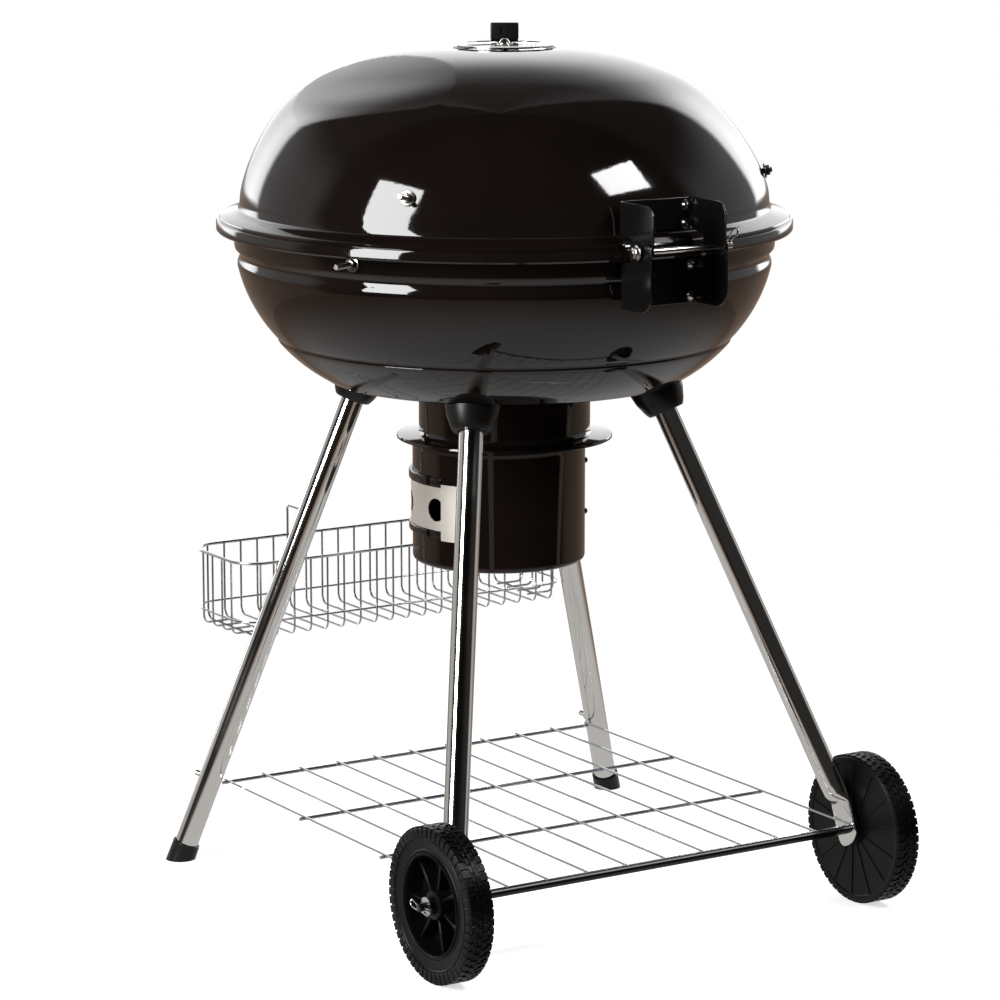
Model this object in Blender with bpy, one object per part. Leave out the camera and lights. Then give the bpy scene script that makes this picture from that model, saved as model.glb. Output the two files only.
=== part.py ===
"""Kettle charcoal grill on a four-legged wheeled stand, built for the library at its real size.

Everything is placed about the kettle's upright axis. Height is measured from the floor. The grill's
front faces -Y, where the lid handle and the basket are, and the hinge and the wheels are at +Y.
"""

import math

import bmesh
import bpy
from mathutils import Matrix, Vector

# ---- driving dimensions, in metres ----
SHEET = 0.0015
GAP = 0.0003
ROUND_SEGMENTS = 44

FLANGE_RADIUS = 0.300
BOWL_RADIUS = 0.283
LID_RADIUS = 0.277
RIM_Z = 0.7085
BOWL_BOTTOM_Z = 0.5395
LID_TOP_Z = 0.8875
LID_LEAN = 0.0055
LID_LEAN_DIRECTION = math.radians(58.0)

COLLAR_RADIUS = 0.0905
COLLAR_BOTTOM_Z = 0.481
BRIM_RADIUS = 0.1138
SPIGOT_RADIUS = 0.0835
CAN_RADIUS = 0.0915
CAN_TOP_Z = 0.4755
CAN_BOTTOM_Z = 0.345
CAN_OFFSET = 0.006
AIR_HOLE_RADIUS = 0.0122
AIR_HOLE_Z = 0.4085
AIR_HOLE_ANGLES = (26.0, 64.5, 103.0)

LEG_RADIUS = 0.0127
LEG_WALL = 0.0012
LEG_JOIN_Z = 0.513
FRONT_LEG_TOP = (0.117, -0.117)
FRONT_LEG_FOOT = (0.2796, -0.220)
BACK_LEG_TOP = (0.119, 0.127)
BACK_LEG_SLOPE = (0.2901, 0.3886)
LEG_BEND_Z = 0.128
TONGUE_X = 0.2375

WHEEL_RADIUS = 0.0788
WHEEL_INNER_X = 0.2450
WHEEL_WIDTH = 0.0275
AXLE_RADIUS = 0.004
AXLE_Y = 0.2957
AXLE_END_X = 0.2845

SHELF_HALF_X = 0.2335
SHELF_FRONT_Y = -0.199
SHELF_BACK_Y = 0.304
BASKET_X = (-0.205, 0.2145)
BASKET_Y = (-0.316, -0.189)
BASKET_Z = (0.2405, 0.3260)

HINGE_Y = 0.320
HINGE_Z = 0.709
HINGE_HALF_X = 0.046
HINGE_PLATE_Y = 0.2785
HINGE_BOWL_PLATE_Y = 0.2855

VENT_RADIUS = 0.054
VENT_Z = 0.8885
VENT_OPEN_ANGLE = math.radians(-32.0)

HANDLE_Z = 0.768
HANDLE_REACH = 0.325
HANDLE_HALF_X = 0.062
GRIP_RADIUS = 0.0125

BOWL_STUD_ANGLES = (-4.0, 116.0, 253.0)
BOWL_STUD_Z = 0.6905
LID_STUD_Z = 0.757
LID_STUD_RADIUS = 0.2705
LID_STUD_LIFT = 11
LID_STUDS = ((7.5, 0.024), (127.5, 0.024), (238.0, 0.010))  # turn in degrees, reach

# The origin is under the middle of the whole grill, so the kettle stands a little forward of it.
KETTLE_Y = -(AXLE_Y + WHEEL_RADIUS - HANDLE_REACH - GRIP_RADIUS) / 2

# ---- colour, roughness and metallic of each material ----
FINISHES = {
    "black_enamel": ((0.012, 0.011, 0.011), 0.08, 0.0),
    "black_plastic": ((0.018, 0.018, 0.019), 0.45, 0.0),
    "black_steel": ((0.015, 0.015, 0.016), 0.30, 0.2),
    "chrome": ((0.78, 0.77, 0.74), 0.12, 1.0),
    "plated_wire": ((0.62, 0.62, 0.63), 0.22, 1.0),
    "galvanised": ((0.62, 0.60, 0.57), 0.42, 0.9),
    "cast_grate": ((0.35, 0.35, 0.36), 0.35, 0.9),
}


def clear_scene():
    for obj in list(bpy.data.objects):
        bpy.data.objects.remove(obj, do_unlink=True)


def material(name):
    found = bpy.data.materials.get(name)
    if found:
        return found
    colour, roughness, metallic = FINISHES[name]
    made = bpy.data.materials.new(name)
    made.use_nodes = True
    shader = made.node_tree.nodes["Principled BSDF"]
    shader.inputs["Base Color"].default_value = (*colour, 1.0)
    shader.inputs["Roughness"].default_value = roughness
    shader.inputs["Metallic"].default_value = metallic
    made.diffuse_color = (*colour, 1.0)
    return made


def add_object(name, bm, finish, parent, place=None):
    """Adds a bmesh as a named object. place is its matrix under its parent."""
    bmesh.ops.remove_doubles(bm, verts=bm.verts, dist=0.000001)
    bmesh.ops.recalc_face_normals(bm, faces=bm.faces)
    mesh = bpy.data.meshes.new(name)
    bm.to_mesh(mesh)
    bm.free()
    obj = bpy.data.objects.new(name, mesh)
    bpy.context.scene.collection.objects.link(obj)
    mesh.shade_smooth()
    mesh.set_sharp_from_angle(angle=math.radians(35))
    mesh.materials.append(material(finish))
    obj.parent = parent
    if place is not None:
        obj.matrix_local = place
    return obj


def add_empty(name, location, parent=None):
    empty = bpy.data.objects.new(name, None)
    bpy.context.scene.collection.objects.link(empty)
    empty.location = location
    empty.parent = parent
    return empty


def cutter(name, bm, parent, place=None):
    obj = add_object(name, bm, "black_plastic", parent, place)
    obj.hide_render = True
    obj.display_type = "WIRE"
    return obj


def cut(obj, tool):
    modifier = obj.modifiers.new("cut_" + tool.name, "BOOLEAN")
    modifier.operation = "DIFFERENCE"
    modifier.solver = "EXACT"
    modifier.object = tool


def arc(start, middle, end, steps):
    """Points along the circle through three points, from start to end."""
    (ax, az), (bx, bz), (cx, cz) = start, middle, end
    turn = 2 * (ax * (bz - cz) + bx * (cz - az) + cx * (az - bz))
    a2, b2, c2 = ax * ax + az * az, bx * bx + bz * bz, cx * cx + cz * cz
    ox = (a2 * (bz - cz) + b2 * (cz - az) + c2 * (az - bz)) / turn
    oz = (a2 * (cx - bx) + b2 * (ax - cx) + c2 * (bx - ax)) / turn
    radius = math.hypot(ax - ox, az - oz)
    first = math.atan2(az - oz, ax - ox)
    sweep = math.atan2(cz - oz, cx - ox) - first
    sweep = (sweep + math.pi) % (2 * math.pi) - math.pi
    angles = [first + sweep * i / steps for i in range(steps + 1)]
    return [(ox + radius * math.cos(a), oz + radius * math.sin(a)) for a in angles]


def sheet_profile(outer, thickness):
    """Closed outline of a pressed sheet: its outer side, then the same points moved inwards."""
    inner = []
    for i, (x, z) in enumerate(outer):
        before = Vector(outer[max(i - 1, 0)])
        after = Vector(outer[min(i + 1, len(outer) - 1)])
        here = Vector((x, z))
        first = (here - before).normalized() if i else (after - here).normalized()
        second = (after - here).normalized() if i < len(outer) - 1 else first
        along = (first + second).normalized()
        reach = thickness / max(along.dot(first), 0.5)
        inner.append((x + along.y * reach, z - along.x * reach))
    return outer + inner[::-1]


def turned(profile, segments=ROUND_SEGMENTS, closed=True):
    """Spins an (r, z) outline round Z. An open outline starts and ends on the axis."""
    bm = bmesh.new()
    verts = [bm.verts.new((r, 0.0, z)) for r, z in profile]
    edges = [bm.edges.new(pair) for pair in zip(verts, verts[1:])]
    if closed:
        edges.append(bm.edges.new((verts[-1], verts[0])))
    bmesh.ops.spin(
        bm,
        geom=verts + edges,
        cent=(0, 0, 0),
        axis=(0, 0, 1),
        steps=segments,
        angle=2 * math.pi,
        use_merge=True,
    )
    return bm


def ring(outer, inner, low, high, segments=ROUND_SEGMENTS):
    return turned([(outer, high), (outer, low), (inner, low), (inner, high)], segments)


def stepped(sizes, segments=16):
    """A solid of round steps along Z: (radius, z) pairs from top to bottom."""
    return turned([(0.0, sizes[0][1])] + list(sizes) + [(0.0, sizes[-1][1])], segments, closed=False)


def box(low, high):
    bm = bmesh.new()
    bmesh.ops.create_cube(bm, size=1.0)
    centre = (Vector(low) + Vector(high)) / 2
    size = Vector(high) - Vector(low)
    bmesh.ops.transform(bm, matrix=Matrix.Translation(centre) @ Matrix.Diagonal((*size, 1)), verts=bm.verts)
    return bm


def prism(outline, low_x, high_x):
    """Extrudes a (y, z) outline along X."""
    bm = bmesh.new()
    face = bm.faces.new([bm.verts.new((low_x, y, z)) for y, z in outline])
    made = bmesh.ops.extrude_face_region(bm, geom=[face])["geom"]
    moved = [item for item in made if isinstance(item, bmesh.types.BMVert)]
    bmesh.ops.translate(bm, vec=(high_x - low_x, 0, 0), verts=moved)
    return bm


def join(parts):
    """Copies several bmeshes into one."""
    whole = bmesh.new()
    for part in parts:
        mesh = bpy.data.meshes.new("joined")
        part.to_mesh(mesh)
        part.free()
        whole.from_mesh(mesh)
        bpy.data.meshes.remove(mesh)
    return whole


def moved(bm, matrix):
    bmesh.ops.transform(bm, matrix=matrix, verts=bm.verts)
    return bm


def round_the_axis(degrees):
    """The turn from the front, -Y, towards +X."""
    return Matrix.Rotation(math.radians(degrees), 4, "Z")


def outwards(angle, radius, z, lift=0.0):
    """A frame whose Z points out of the kettle at this angle, tipped up by lift degrees."""
    tip = Matrix.Rotation(math.radians(90 - lift), 4, "X")
    return round_the_axis(angle) @ Matrix.Translation((0, -radius, z)) @ tip


def along_axis(point, direction):
    """A frame at point whose Z runs along direction."""
    turn = Vector(direction).normalized().to_track_quat("Z", "Y")
    return Matrix.Translation(point) @ turn.to_matrix().to_4x4()


def wire(name, points, radius, finish, parent, sides=2):
    """A round wire with filled ends through a list of points."""
    curve = bpy.data.curves.new(name, "CURVE")
    curve.dimensions = "3D"
    curve.bevel_depth = radius
    curve.bevel_resolution = sides
    curve.use_fill_caps = True
    spline = curve.splines.new("POLY")
    spline.points.add(len(points) - 1)
    for spot, point in zip(spline.points, points):
        spot.co = (*point, 1.0)
    curve.materials.append(material(finish))
    obj = bpy.data.objects.new(name, curve)
    bpy.context.scene.collection.objects.link(obj)
    obj.parent = parent
    return obj


# ---- kettle ----
def bowl_outline():
    """The bowl's outer side, from the rim's inner edge over the flange and down to the ash hole."""
    lip_z = RIM_Z - 0.0085
    wall = BOWL_RADIUS
    flange = [
        (wall, RIM_Z),
        (FLANGE_RADIUS - 0.0010, RIM_Z),
        (FLANGE_RADIUS, RIM_Z - 0.0010),
        (FLANGE_RADIUS, lip_z),
    ]
    side = [(wall, 0.6815), (0.2808, 0.6772), (0.2772, 0.6735), (0.2776, 0.6700), (0.2797, 0.6660)]
    upper = arc((0.2798, 0.6610), (0.2665, 0.6242), (0.2410, 0.5875), 6)
    lower = arc((0.2385, 0.5820), (0.2190, 0.5628), (0.1953, 0.5460), 3)
    base = [(0.1870, 0.5425), (0.1800, BOWL_BOTTOM_Z), (0.1720, BOWL_BOTTOM_Z + 0.0010)]
    hole = [(0.1100, BOWL_BOTTOM_Z - 0.0005), (COLLAR_RADIUS - 0.0010, BOWL_BOTTOM_Z - 0.0005)]
    return flange, side + upper + lower + base + hole


def make_bowl(parent):
    flange, side = bowl_outline()
    lip = FLANGE_RADIUS - SHEET
    under = [(lip, flange[-1][1]), (lip, RIM_Z - SHEET), (BOWL_RADIUS + 0.0015, RIM_Z - SHEET)]
    body = [(BOWL_RADIUS, RIM_Z - 0.0030)] + side
    inner = sheet_profile([(BOWL_RADIUS, RIM_Z)] + body, SHEET)[len(body) + 1 :]
    bowl = add_object("bowl", turned(flange[1:] + under + body + inner), "black_enamel", parent)
    holes = join([moved(stepped([(0.0036, 0.02), (0.0036, -0.02)], 12), outwards(a, BOWL_RADIUS, BOWL_STUD_Z))
                  for a in BOWL_STUD_ANGLES])
    cut(bowl, cutter("bowl_stud_holes", holes, parent))


def make_collar(parent):
    r = COLLAR_RADIUS
    top = BOWL_BOTTOM_Z - 0.0005 - GAP
    outer = [
        (0.1080, top),
        (0.1080, top - SHEET),
        (r, top - SHEET),
        (r, COLLAR_BOTTOM_Z),
        (BRIM_RADIUS, COLLAR_BOTTOM_Z - 0.0010),
        (BRIM_RADIUS, COLLAR_BOTTOM_Z - 0.0045),
        (BRIM_RADIUS - SHEET, COLLAR_BOTTOM_Z - 0.0045),
        (BRIM_RADIUS - SHEET, COLLAR_BOTTOM_Z - 0.0025),
        (SPIGOT_RADIUS, COLLAR_BOTTOM_Z - 0.0020),
        (SPIGOT_RADIUS, COLLAR_BOTTOM_Z - 0.0200),
        (SPIGOT_RADIUS - SHEET, COLLAR_BOTTOM_Z - 0.0200),
        (SPIGOT_RADIUS - SHEET, COLLAR_BOTTOM_Z),
        (r - SHEET, COLLAR_BOTTOM_Z + SHEET),
        (r - SHEET, top),
    ]
    add_object("bowl_collar", turned(outer, 40), "black_enamel", parent)


def make_grates(parent):
    for name, radius, z, slots, bar in (
        ("cooking_grate", 0.266, 0.6860, 14, 0.30),
        ("charcoal_grate", 0.226, 0.5800, 9, 0.40),
    ):
        plate = stepped([(radius, z + 0.005), (radius, z)], 40)
        rim = radius - 0.010
        pitch = 2 * rim / slots
        tools = []
        for i in range(slots):
            x = -rim + pitch * (i + 0.5)
            half = pitch * (1 - bar) / 2
            reach = math.sqrt(max(rim**2 - (abs(x) + half) ** 2, 0.0))
            if reach > 0.02:
                tools.append(box((x - half, -reach, z - 0.01), (x + half, reach, z + 0.02)))
        grate = add_object(name, plate, "cast_grate", parent)
        cut(grate, cutter(name + "_slots", join(tools), parent))


def make_bowl_studs(parent):
    inside = BOWL_RADIUS - SHEET - GAP
    for number, angle in enumerate(BOWL_STUD_ANGLES, 1):
        stud = stepped(
            [
                (0.0030, 0.030),
                (0.0030, 0.0065),
                (0.0052, 0.0065),
                (0.0052, 0.0018),
                (0.0080, 0.0018),
                (0.0080, 0.0005),
                (0.0030, 0.0005),
                (0.0030, -0.0060),
            ],
            12,
        )
        place = outwards(angle, BOWL_RADIUS, BOWL_STUD_Z)
        add_object(f"bowl_stud_{number}", stud, "chrome", parent, place)
        clip = [
            (-inside + 0.0065, BOWL_STUD_Z + 0.0080),
            (-inside + 0.0045, BOWL_STUD_Z + 0.0080),
            (-inside + 0.0045, 0.6836),
            (-inside + 0.0280, 0.6836),
            (-inside + 0.0280, 0.6856),
            (-inside + 0.0065, 0.6856),
        ]
        clip = [(y + 0.0010, z) for y, z in clip]
        place = round_the_axis(angle)
        add_object(f"grate_clip_{number}", prism(clip, -0.008, 0.008), "plated_wire", parent, place)


# ---- lid ----
def lid_outline():
    """The lid's outer side, from the flange's edge up the wall to the hole at its crown."""
    shoulder = arc((0.2705, 0.7560), (0.2519, 0.7930), (0.2232, 0.8300), 5)
    crown = arc((0.2066, 0.8450), (0.1632, 0.8670), (0.1061, 0.8820), 4)
    top = [(0.0768, 0.8855), (0.0560, 0.8867), (0.0300, LID_TOP_Z - 0.0004), (0.0045, LID_TOP_Z)]
    return shoulder + crown + top


def lean(bm):
    """The crown of the pressed lid stands a little to one side of its flange."""
    across = Vector((math.sin(LID_LEAN_DIRECTION), -math.cos(LID_LEAN_DIRECTION), 0))
    low, high, crown, full = 0.735, 0.845, 0.055, 0.110
    for vert in bm.verts:
        rise = min(max((vert.co.z - low) / (high - low), 0.0), 1.0)
        radius = math.hypot(vert.co.x, vert.co.y)
        fade = min(max((radius - crown) / (full - crown), 0.0), 1.0)
        smooth = rise * rise * (3 - 2 * rise) * fade * fade * (3 - 2 * fade)
        vert.co += across * LID_LEAN * smooth
    return bm


def make_lid(parent):
    low = RIM_Z + GAP
    edge = FLANGE_RADIUS - 0.0020
    outer = [
        (edge, low),
        (edge + 0.0008, low + 0.0015),
        (edge, low + 0.0040),
        (LID_RADIUS + 0.0040, low + 0.0095),
        (LID_RADIUS, low + 0.0135),
        (0.2752, 0.7400),
    ] + lid_outline()
    # The outline climbs the outer side, so the inner side is offset by a negative thickness.
    loop = sheet_profile(outer, -SHEET)
    loop[-1] = (edge - 0.0006, low)
    loop[-2] = (edge - 0.0010, low + 0.0010)
    lid = add_object("lid", lean(turned(loop)), "black_enamel", parent)
    holes = [moved(stepped([(0.0105, 0.03), (0.0105, -0.03)], 16),
                   Matrix.Rotation(VENT_OPEN_ANGLE + math.radians(45 + 90 * i), 4, "Z")
                   @ Matrix.Translation((0, -0.031, LID_TOP_Z))) for i in range(4)]
    for angle, _ in LID_STUDS:
        holes.append(moved(stepped([(0.0036, 0.02), (0.0036, -0.02)], 12), lid_stud_place(angle)))
    cut(lid, cutter("lid_holes", join(holes), parent))


def lid_stud_place(angle):
    return outwards(angle, LID_STUD_RADIUS, LID_STUD_Z, LID_STUD_LIFT)



def make_lid_studs(parent):
    for number, (angle, reach) in enumerate(LID_STUDS, 1):
        stud = stepped(
            [
                (0.0030, reach),
                (0.0030, 0.0075),
                (0.0052, 0.0075),
                (0.0052, 0.0030),
                (0.0080, 0.0030),
                (0.0080, 0.0015),
                (0.0030, 0.0015),
                (0.0030, -0.0050),
                (0.0055, -0.0050),
                (0.0055, -0.0070),
            ],
            12,
        )
        add_object(f"lid_stud_{number}", stud, "chrome", parent, lid_stud_place(angle))


def make_vent(lid, vent):
    plate = stepped([(VENT_RADIUS, 0.0012), (VENT_RADIUS, 0.0)], 40)
    add_hub = stepped([(0.0040, 0.01), (0.0040, -0.01)], 12)
    tools = [add_hub]
    inner, outer, half = 0.015, 0.046, math.radians(23)
    for i in range(4):
        middle = VENT_OPEN_ANGLE + math.radians(45 + 90 * i)
        steps = [middle - half + 2 * half * k / 4 for k in range(5)]
        ring_out = [(outer * math.sin(a), -outer * math.cos(a)) for a in steps]
        ring_in = [(inner * math.sin(a), -inner * math.cos(a)) for a in steps[::-1]]
        bm = bmesh.new()
        face = bm.faces.new([bm.verts.new((x, y, -0.01)) for x, y in ring_out + ring_in])
        made = bmesh.ops.extrude_face_region(bm, geom=[face])["geom"]
        bmesh.ops.translate(bm, vec=(0, 0, 0.02), verts=[v for v in made if isinstance(v, bmesh.types.BMVert)])
        bmesh.ops.recalc_face_normals(bm, faces=bm.faces)
        tools.append(bm)
    disc = add_object("vent_damper", plate, "chrome", vent)
    cut(disc, cutter("vent_openings", join(tools), vent))
    grip = box((-0.0148, -0.0060, 0.0012 + GAP), (0.0148, 0.0010, 0.0195))
    place = Matrix.Rotation(VENT_OPEN_ANGLE, 4, "Z") @ Matrix.Translation((0, -VENT_RADIUS + 0.006, 0))
    add_object("vent_grip", grip, "black_plastic", vent, place)
    screw = stepped([(0.0030, 0.0065), (0.0062, 0.0050), (0.0062, 0.0020), (0.0033, 0.0020), (0.0033, -0.0080)], 16)
    add_object("vent_screw", screw, "chrome", lid, Matrix.Translation((0, 0, VENT_Z)))


def make_handle(parent):
    """The rod comes out of the lid's front, turns along X through the grip, and goes back in."""
    root_y = -0.2662
    bend = 0.012
    half = HANDLE_HALF_X
    corner = []
    for step in range(5):
        turn = math.radians(90 * step / 4)
        corner.append((half - bend + bend * math.cos(turn), -HANDLE_REACH + bend - bend * math.sin(turn)))
    side = [(half, root_y)] + corner
    points = [(x, y, HANDLE_Z) for x, y in side] + [(-x, y, HANDLE_Z) for x, y in side[::-1]]
    wire("lid_handle_rod", points, 0.004, "chrome", parent, 2)
    r = GRIP_RADIUS
    outline = [
        (0.0043, 0.048),
        (0.0043, -0.048),
        (r - 0.0030, -0.048),
        (r - 0.0010, -0.044),
        (r - 0.0020, -0.020),
        (r, 0.0),
        (r - 0.0020, 0.020),
        (r - 0.0010, 0.044),
        (r - 0.0030, 0.048),
    ]
    grip = turned(outline, 20)
    place = Matrix.Translation((0, -HANDLE_REACH, HANDLE_Z)) @ Matrix.Rotation(math.pi / 2, 4, "Y")
    add_object("lid_handle_grip", grip, "black_plastic", parent, place)
    for name, x in (("right", half), ("left", -half)):
        nut = ring(0.0085, 0.0044, 0.0, 0.004, 12)
        place = Matrix.Translation((x, root_y + 0.0005, HANDLE_Z)) @ Matrix.Rotation(math.pi / 2, 4, "X")
        add_object("lid_handle_nut_" + name, nut, "chrome", parent, place)


# ---- hinge ----
def rounded(corners, steps=3):
    """An outline whose corners are (y, z, radius)."""
    outline = []
    for i, (y, z, radius) in enumerate(corners):
        here = Vector((y, z))
        before = (Vector(corners[i - 1][:2]) - here).normalized()
        after = (Vector(corners[(i + 1) % len(corners)][:2]) - here).normalized()
        if not radius:
            outline.append((y, z))
            continue
        half = before.angle(after) / 2
        reach = radius / math.tan(half)
        start, end = here + before * reach, here + after * reach
        centre = here + (before + after).normalized() * (radius / math.sin(half))
        for k in range(steps + 1):
            spoke = (start - centre).slerp(end - centre, k / steps)
            outline.append(tuple(centre + spoke.normalized() * radius))
    return outline


def make_bracket(name, corners, plate_y, half, parent, frame_z):
    """A U of sheet: a plate on the kettle's wall and an ear at each end that holds the pin."""
    outline = [(y, z - frame_z) for y, z in rounded(corners)]
    channel = add_object(name, prism(outline, -half, half), "black_steel", parent)
    low = (-half + 0.002, plate_y + 0.002, -1.0)
    cut(channel, cutter(name + "_channel", box(low, (half - 0.002, plate_y + 0.2, 1.0)), parent))
    pin = moved(stepped([(0.0034, 0.1), (0.0034, -0.1)], 12), Matrix.Rotation(math.pi / 2, 4, "Y"))
    place = Matrix.Translation((0, pin_y(parent), HINGE_Z - frame_z))
    cut(channel, cutter(name + "_pin_hole", pin, parent, place))


def pin_y(parent):
    return HINGE_Y if parent.name == "kettle" else 0.0


def screw_head(name, x, y, z, parent):
    head = stepped([(0.0022, 0.0036), (0.0038, 0.0026), (0.0046, 0.0008), (0.0046, 0.0)], 12)
    place = Matrix.Translation((x, y, z)) @ Matrix.Rotation(-math.pi / 2, 4, "X")
    add_object(name, head, "chrome", parent, place)


def make_hinge(kettle, lid):
    clear = FLANGE_RADIUS + 0.0025
    tip = 0.3400
    plate = HINGE_PLATE_Y - HINGE_Y
    lid_ear = [
        (plate, 0.7545, 0.0),
        (plate, 0.7235, 0.0),
        (clear - HINGE_Y, 0.7200, 0.003),
        (clear - HINGE_Y, 0.7020, 0.005),
        (tip - HINGE_Y, 0.7020, 0.008),
        (tip - HINGE_Y, 0.7545, 0.014),
    ]
    make_bracket("hinge_lid_bracket", lid_ear, plate, HINGE_HALF_X - 0.0024, lid, HINGE_Z)
    bowl_plate = HINGE_BOWL_PLATE_Y
    bowl_ear = [
        (bowl_plate, 0.6965, 0.0),
        (bowl_plate, 0.6500, 0.0),
        (tip, 0.6500, 0.018),
        (tip, 0.7185, 0.008),
        (clear + 0.0010, 0.7185, 0.005),
        (clear + 0.0010, 0.6965, 0.002),
    ]
    make_bracket("hinge_bowl_bracket", bowl_ear, bowl_plate, HINGE_HALF_X, kettle, 0.0)
    pin = stepped([(0.0052, 0.0545), (0.0060, 0.0525), (0.0060, 0.0500), (0.0030, 0.0500), (0.0030, -0.0640)], 12)
    place = Matrix.Translation((0, HINGE_Y, HINGE_Z)) @ Matrix.Rotation(math.pi / 2, 4, "Y")
    pin_obj = add_object("hinge_pin", pin, "chrome", kettle, place)
    hole = moved(stepped([(0.0013, 0.02), (0.0013, -0.02)], 8), Matrix.Translation((-0.058, HINGE_Y, HINGE_Z)))
    cut(pin_obj, cutter("hinge_pin_clip_hole", hole, kettle))
    make_clip("hinge_clip", Vector((-0.058, HINGE_Y, HINGE_Z)), kettle)
    for number, (x, z) in enumerate(((0.036, 0.7468), (0.036, 0.7288), (-0.036, 0.7468), (-0.036, 0.7288)), 1):
        screw_head(f"hinge_lid_screw_{number}", x, plate + 0.002 + GAP, z - HINGE_Z, lid)
    for number, (x, z) in enumerate(((0.038, 0.6886), (0.038, 0.6570), (-0.038, 0.6886), (-0.038, 0.6570)), 1):
        screw_head(f"hinge_bowl_screw_{number}", x, bowl_plate + 0.002 + GAP, z, kettle)


def make_clip(name, centre, parent):
    """A spring clip of bent wire: one leg goes through the pin, the other bows round it."""
    bow = [(0.004, 0.020)]
    bow += [(0.004 * math.cos(math.radians(a)), 0.020 + 0.004 * math.sin(math.radians(a))) for a in (60, 120, 180)]
    bow += [(-0.0052, 0.012), (-0.0052, -0.004), (-0.0062, -0.010)]
    points = [(0.0, -0.012), (0.0, 0.0), (0.0, 0.010)] + bow
    wire(name, [centre + Vector((0, y, z)) for y, z in points], 0.0009, "chrome", parent, 1)


# ---- ash can ----
def can_centre():
    angle = LID_LEAN_DIRECTION
    return Vector((math.sin(angle), -math.cos(angle), 0)) * CAN_OFFSET


def strip(inner, outer, low, high, first, last, steps):
    """A curved strip round Z between two angles, in degrees from -Y towards +X."""
    bm = bmesh.new()
    start = [bm.verts.new((0, -r, z)) for r, z in ((inner, low), (outer, low), (outer, high), (inner, high))]
    face = bm.faces.new(start)
    bmesh.ops.rotate(bm, verts=start, cent=(0, 0, 0), matrix=Matrix.Rotation(math.radians(first), 3, "Z"))
    bmesh.ops.spin(
        bm,
        geom=[face],
        cent=(0, 0, 0),
        axis=(0, 0, 1),
        steps=steps,
        angle=math.radians(last - first),
    )
    return bm


def air_holes(radius):
    drills = []
    for angle in AIR_HOLE_ANGLES:
        drill = stepped([(AIR_HOLE_RADIUS, 0.02), (AIR_HOLE_RADIUS, -0.02)], 20)
        drills.append(moved(drill, outwards(angle, radius, AIR_HOLE_Z)))
    return join(drills)


def make_ash_can(can, damper):
    r = CAN_RADIUS
    corner = arc((r, CAN_BOTTOM_Z + 0.006), (r - 0.0018, CAN_BOTTOM_Z + 0.0018), (r - 0.006, CAN_BOTTOM_Z), 3)
    outer = [(r, CAN_TOP_Z)] + corner
    inner = [
        (r - 0.006 - 0.0005, CAN_BOTTOM_Z + SHEET),
        (r - SHEET - 0.0010, CAN_BOTTOM_Z + 0.0035),
        (r - SHEET, CAN_BOTTOM_Z + 0.007),
        (r - SHEET, CAN_TOP_Z),
    ]
    profile = [(0.0, CAN_BOTTOM_Z + SHEET)] + inner + outer + [(0.0, CAN_BOTTOM_Z)]
    bucket = add_object("ash_can", turned(profile, 48, closed=False), "black_enamel", can)
    cut(bucket, cutter("ash_can_air_holes", air_holes(r), can))
    upper = strip(r + GAP, r + 0.0040, 0.4332, 0.4428, -8, 107, 16)
    add_object("damper_rail_upper", upper, "black_steel", can)
    lower = strip(r + GAP, r + 0.0040, 0.3782, 0.3862, -8, 107, 16)
    add_object("damper_rail_lower", lower, "black_steel", can)
    low, high = r + 0.0006, r + 0.0018
    rows = ((-4.0, 107.5, 0.3866, 0.4328), (107.5, 128.0, 0.3766, 0.4364))
    bm = bmesh.new()
    for index, (first, last, bottom, top) in enumerate(rows):
        heights = (bottom, rows[0][2], rows[0][3], top) if index else (bottom, top)
        steps = round((last - first) / 6)
        columns = []
        for step in range(steps + 1):
            turn = Matrix.Rotation(math.radians(first + (last - first) * step / steps), 3, "Z")
            columns.append([bm.verts.new(turn @ Vector((0, -low, z))) for z in heights])
        for left, right in zip(columns, columns[1:]):
            for k in range(len(heights) - 1):
                bm.faces.new((left[k], right[k], right[k + 1], left[k + 1]))
    bmesh.ops.remove_doubles(bm, verts=bm.verts, dist=0.00001)
    bmesh.ops.recalc_face_normals(bm, faces=bm.faces)
    made = bmesh.ops.extrude_face_region(bm, geom=list(bm.faces), use_keep_orig=True)["geom"]
    for vert in (item for item in made if isinstance(item, bmesh.types.BMVert)):
        grow = high / low
        vert.co.x *= grow
        vert.co.y *= grow
    plate = add_object("ash_damper", bm, "galvanised", damper)
    cut(plate, cutter("ash_damper_holes", air_holes(r), damper))


# ---- stand ----
def front_leg(side):
    join_point = Vector((side * FRONT_LEG_TOP[0], FRONT_LEG_TOP[1], LEG_JOIN_Z))
    foot = Vector((side * FRONT_LEG_FOOT[0], FRONT_LEG_FOOT[1], 0.0))
    return join_point, (foot - join_point).normalized()


def back_leg(side):
    join_point = Vector((side * BACK_LEG_TOP[0], BACK_LEG_TOP[1], LEG_JOIN_Z))
    return join_point, Vector((side * BACK_LEG_SLOPE[0], BACK_LEG_SLOPE[1], -1.0)).normalized()


def down_to(point, direction, z):
    return point + direction * ((z - point.z) / direction.z)


def make_socket(name, point, direction, parent):
    """A moulded cup under the bowl that the leg's end goes into, shaped to the bowl above it."""
    profile = [
        (0.0, 0.034),
        (0.0285, 0.034),
        (0.0280, 0.0170),
        (0.0255, 0.0080),
        (0.0215, 0.0010),
        (0.0170, -0.0030),
        (LEG_RADIUS + 0.0004, -0.0030),
        (LEG_RADIUS + 0.0004, 0.0105),
        (0.0, 0.0105),
    ]
    place = along_axis(point, -direction)
    socket = add_object(name, turned(profile, 24, closed=False), "black_plastic", parent, place)
    tool = bpy.data.objects.get("bowl_underside") or bowl_underside(parent)
    cut(socket, tool)


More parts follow.
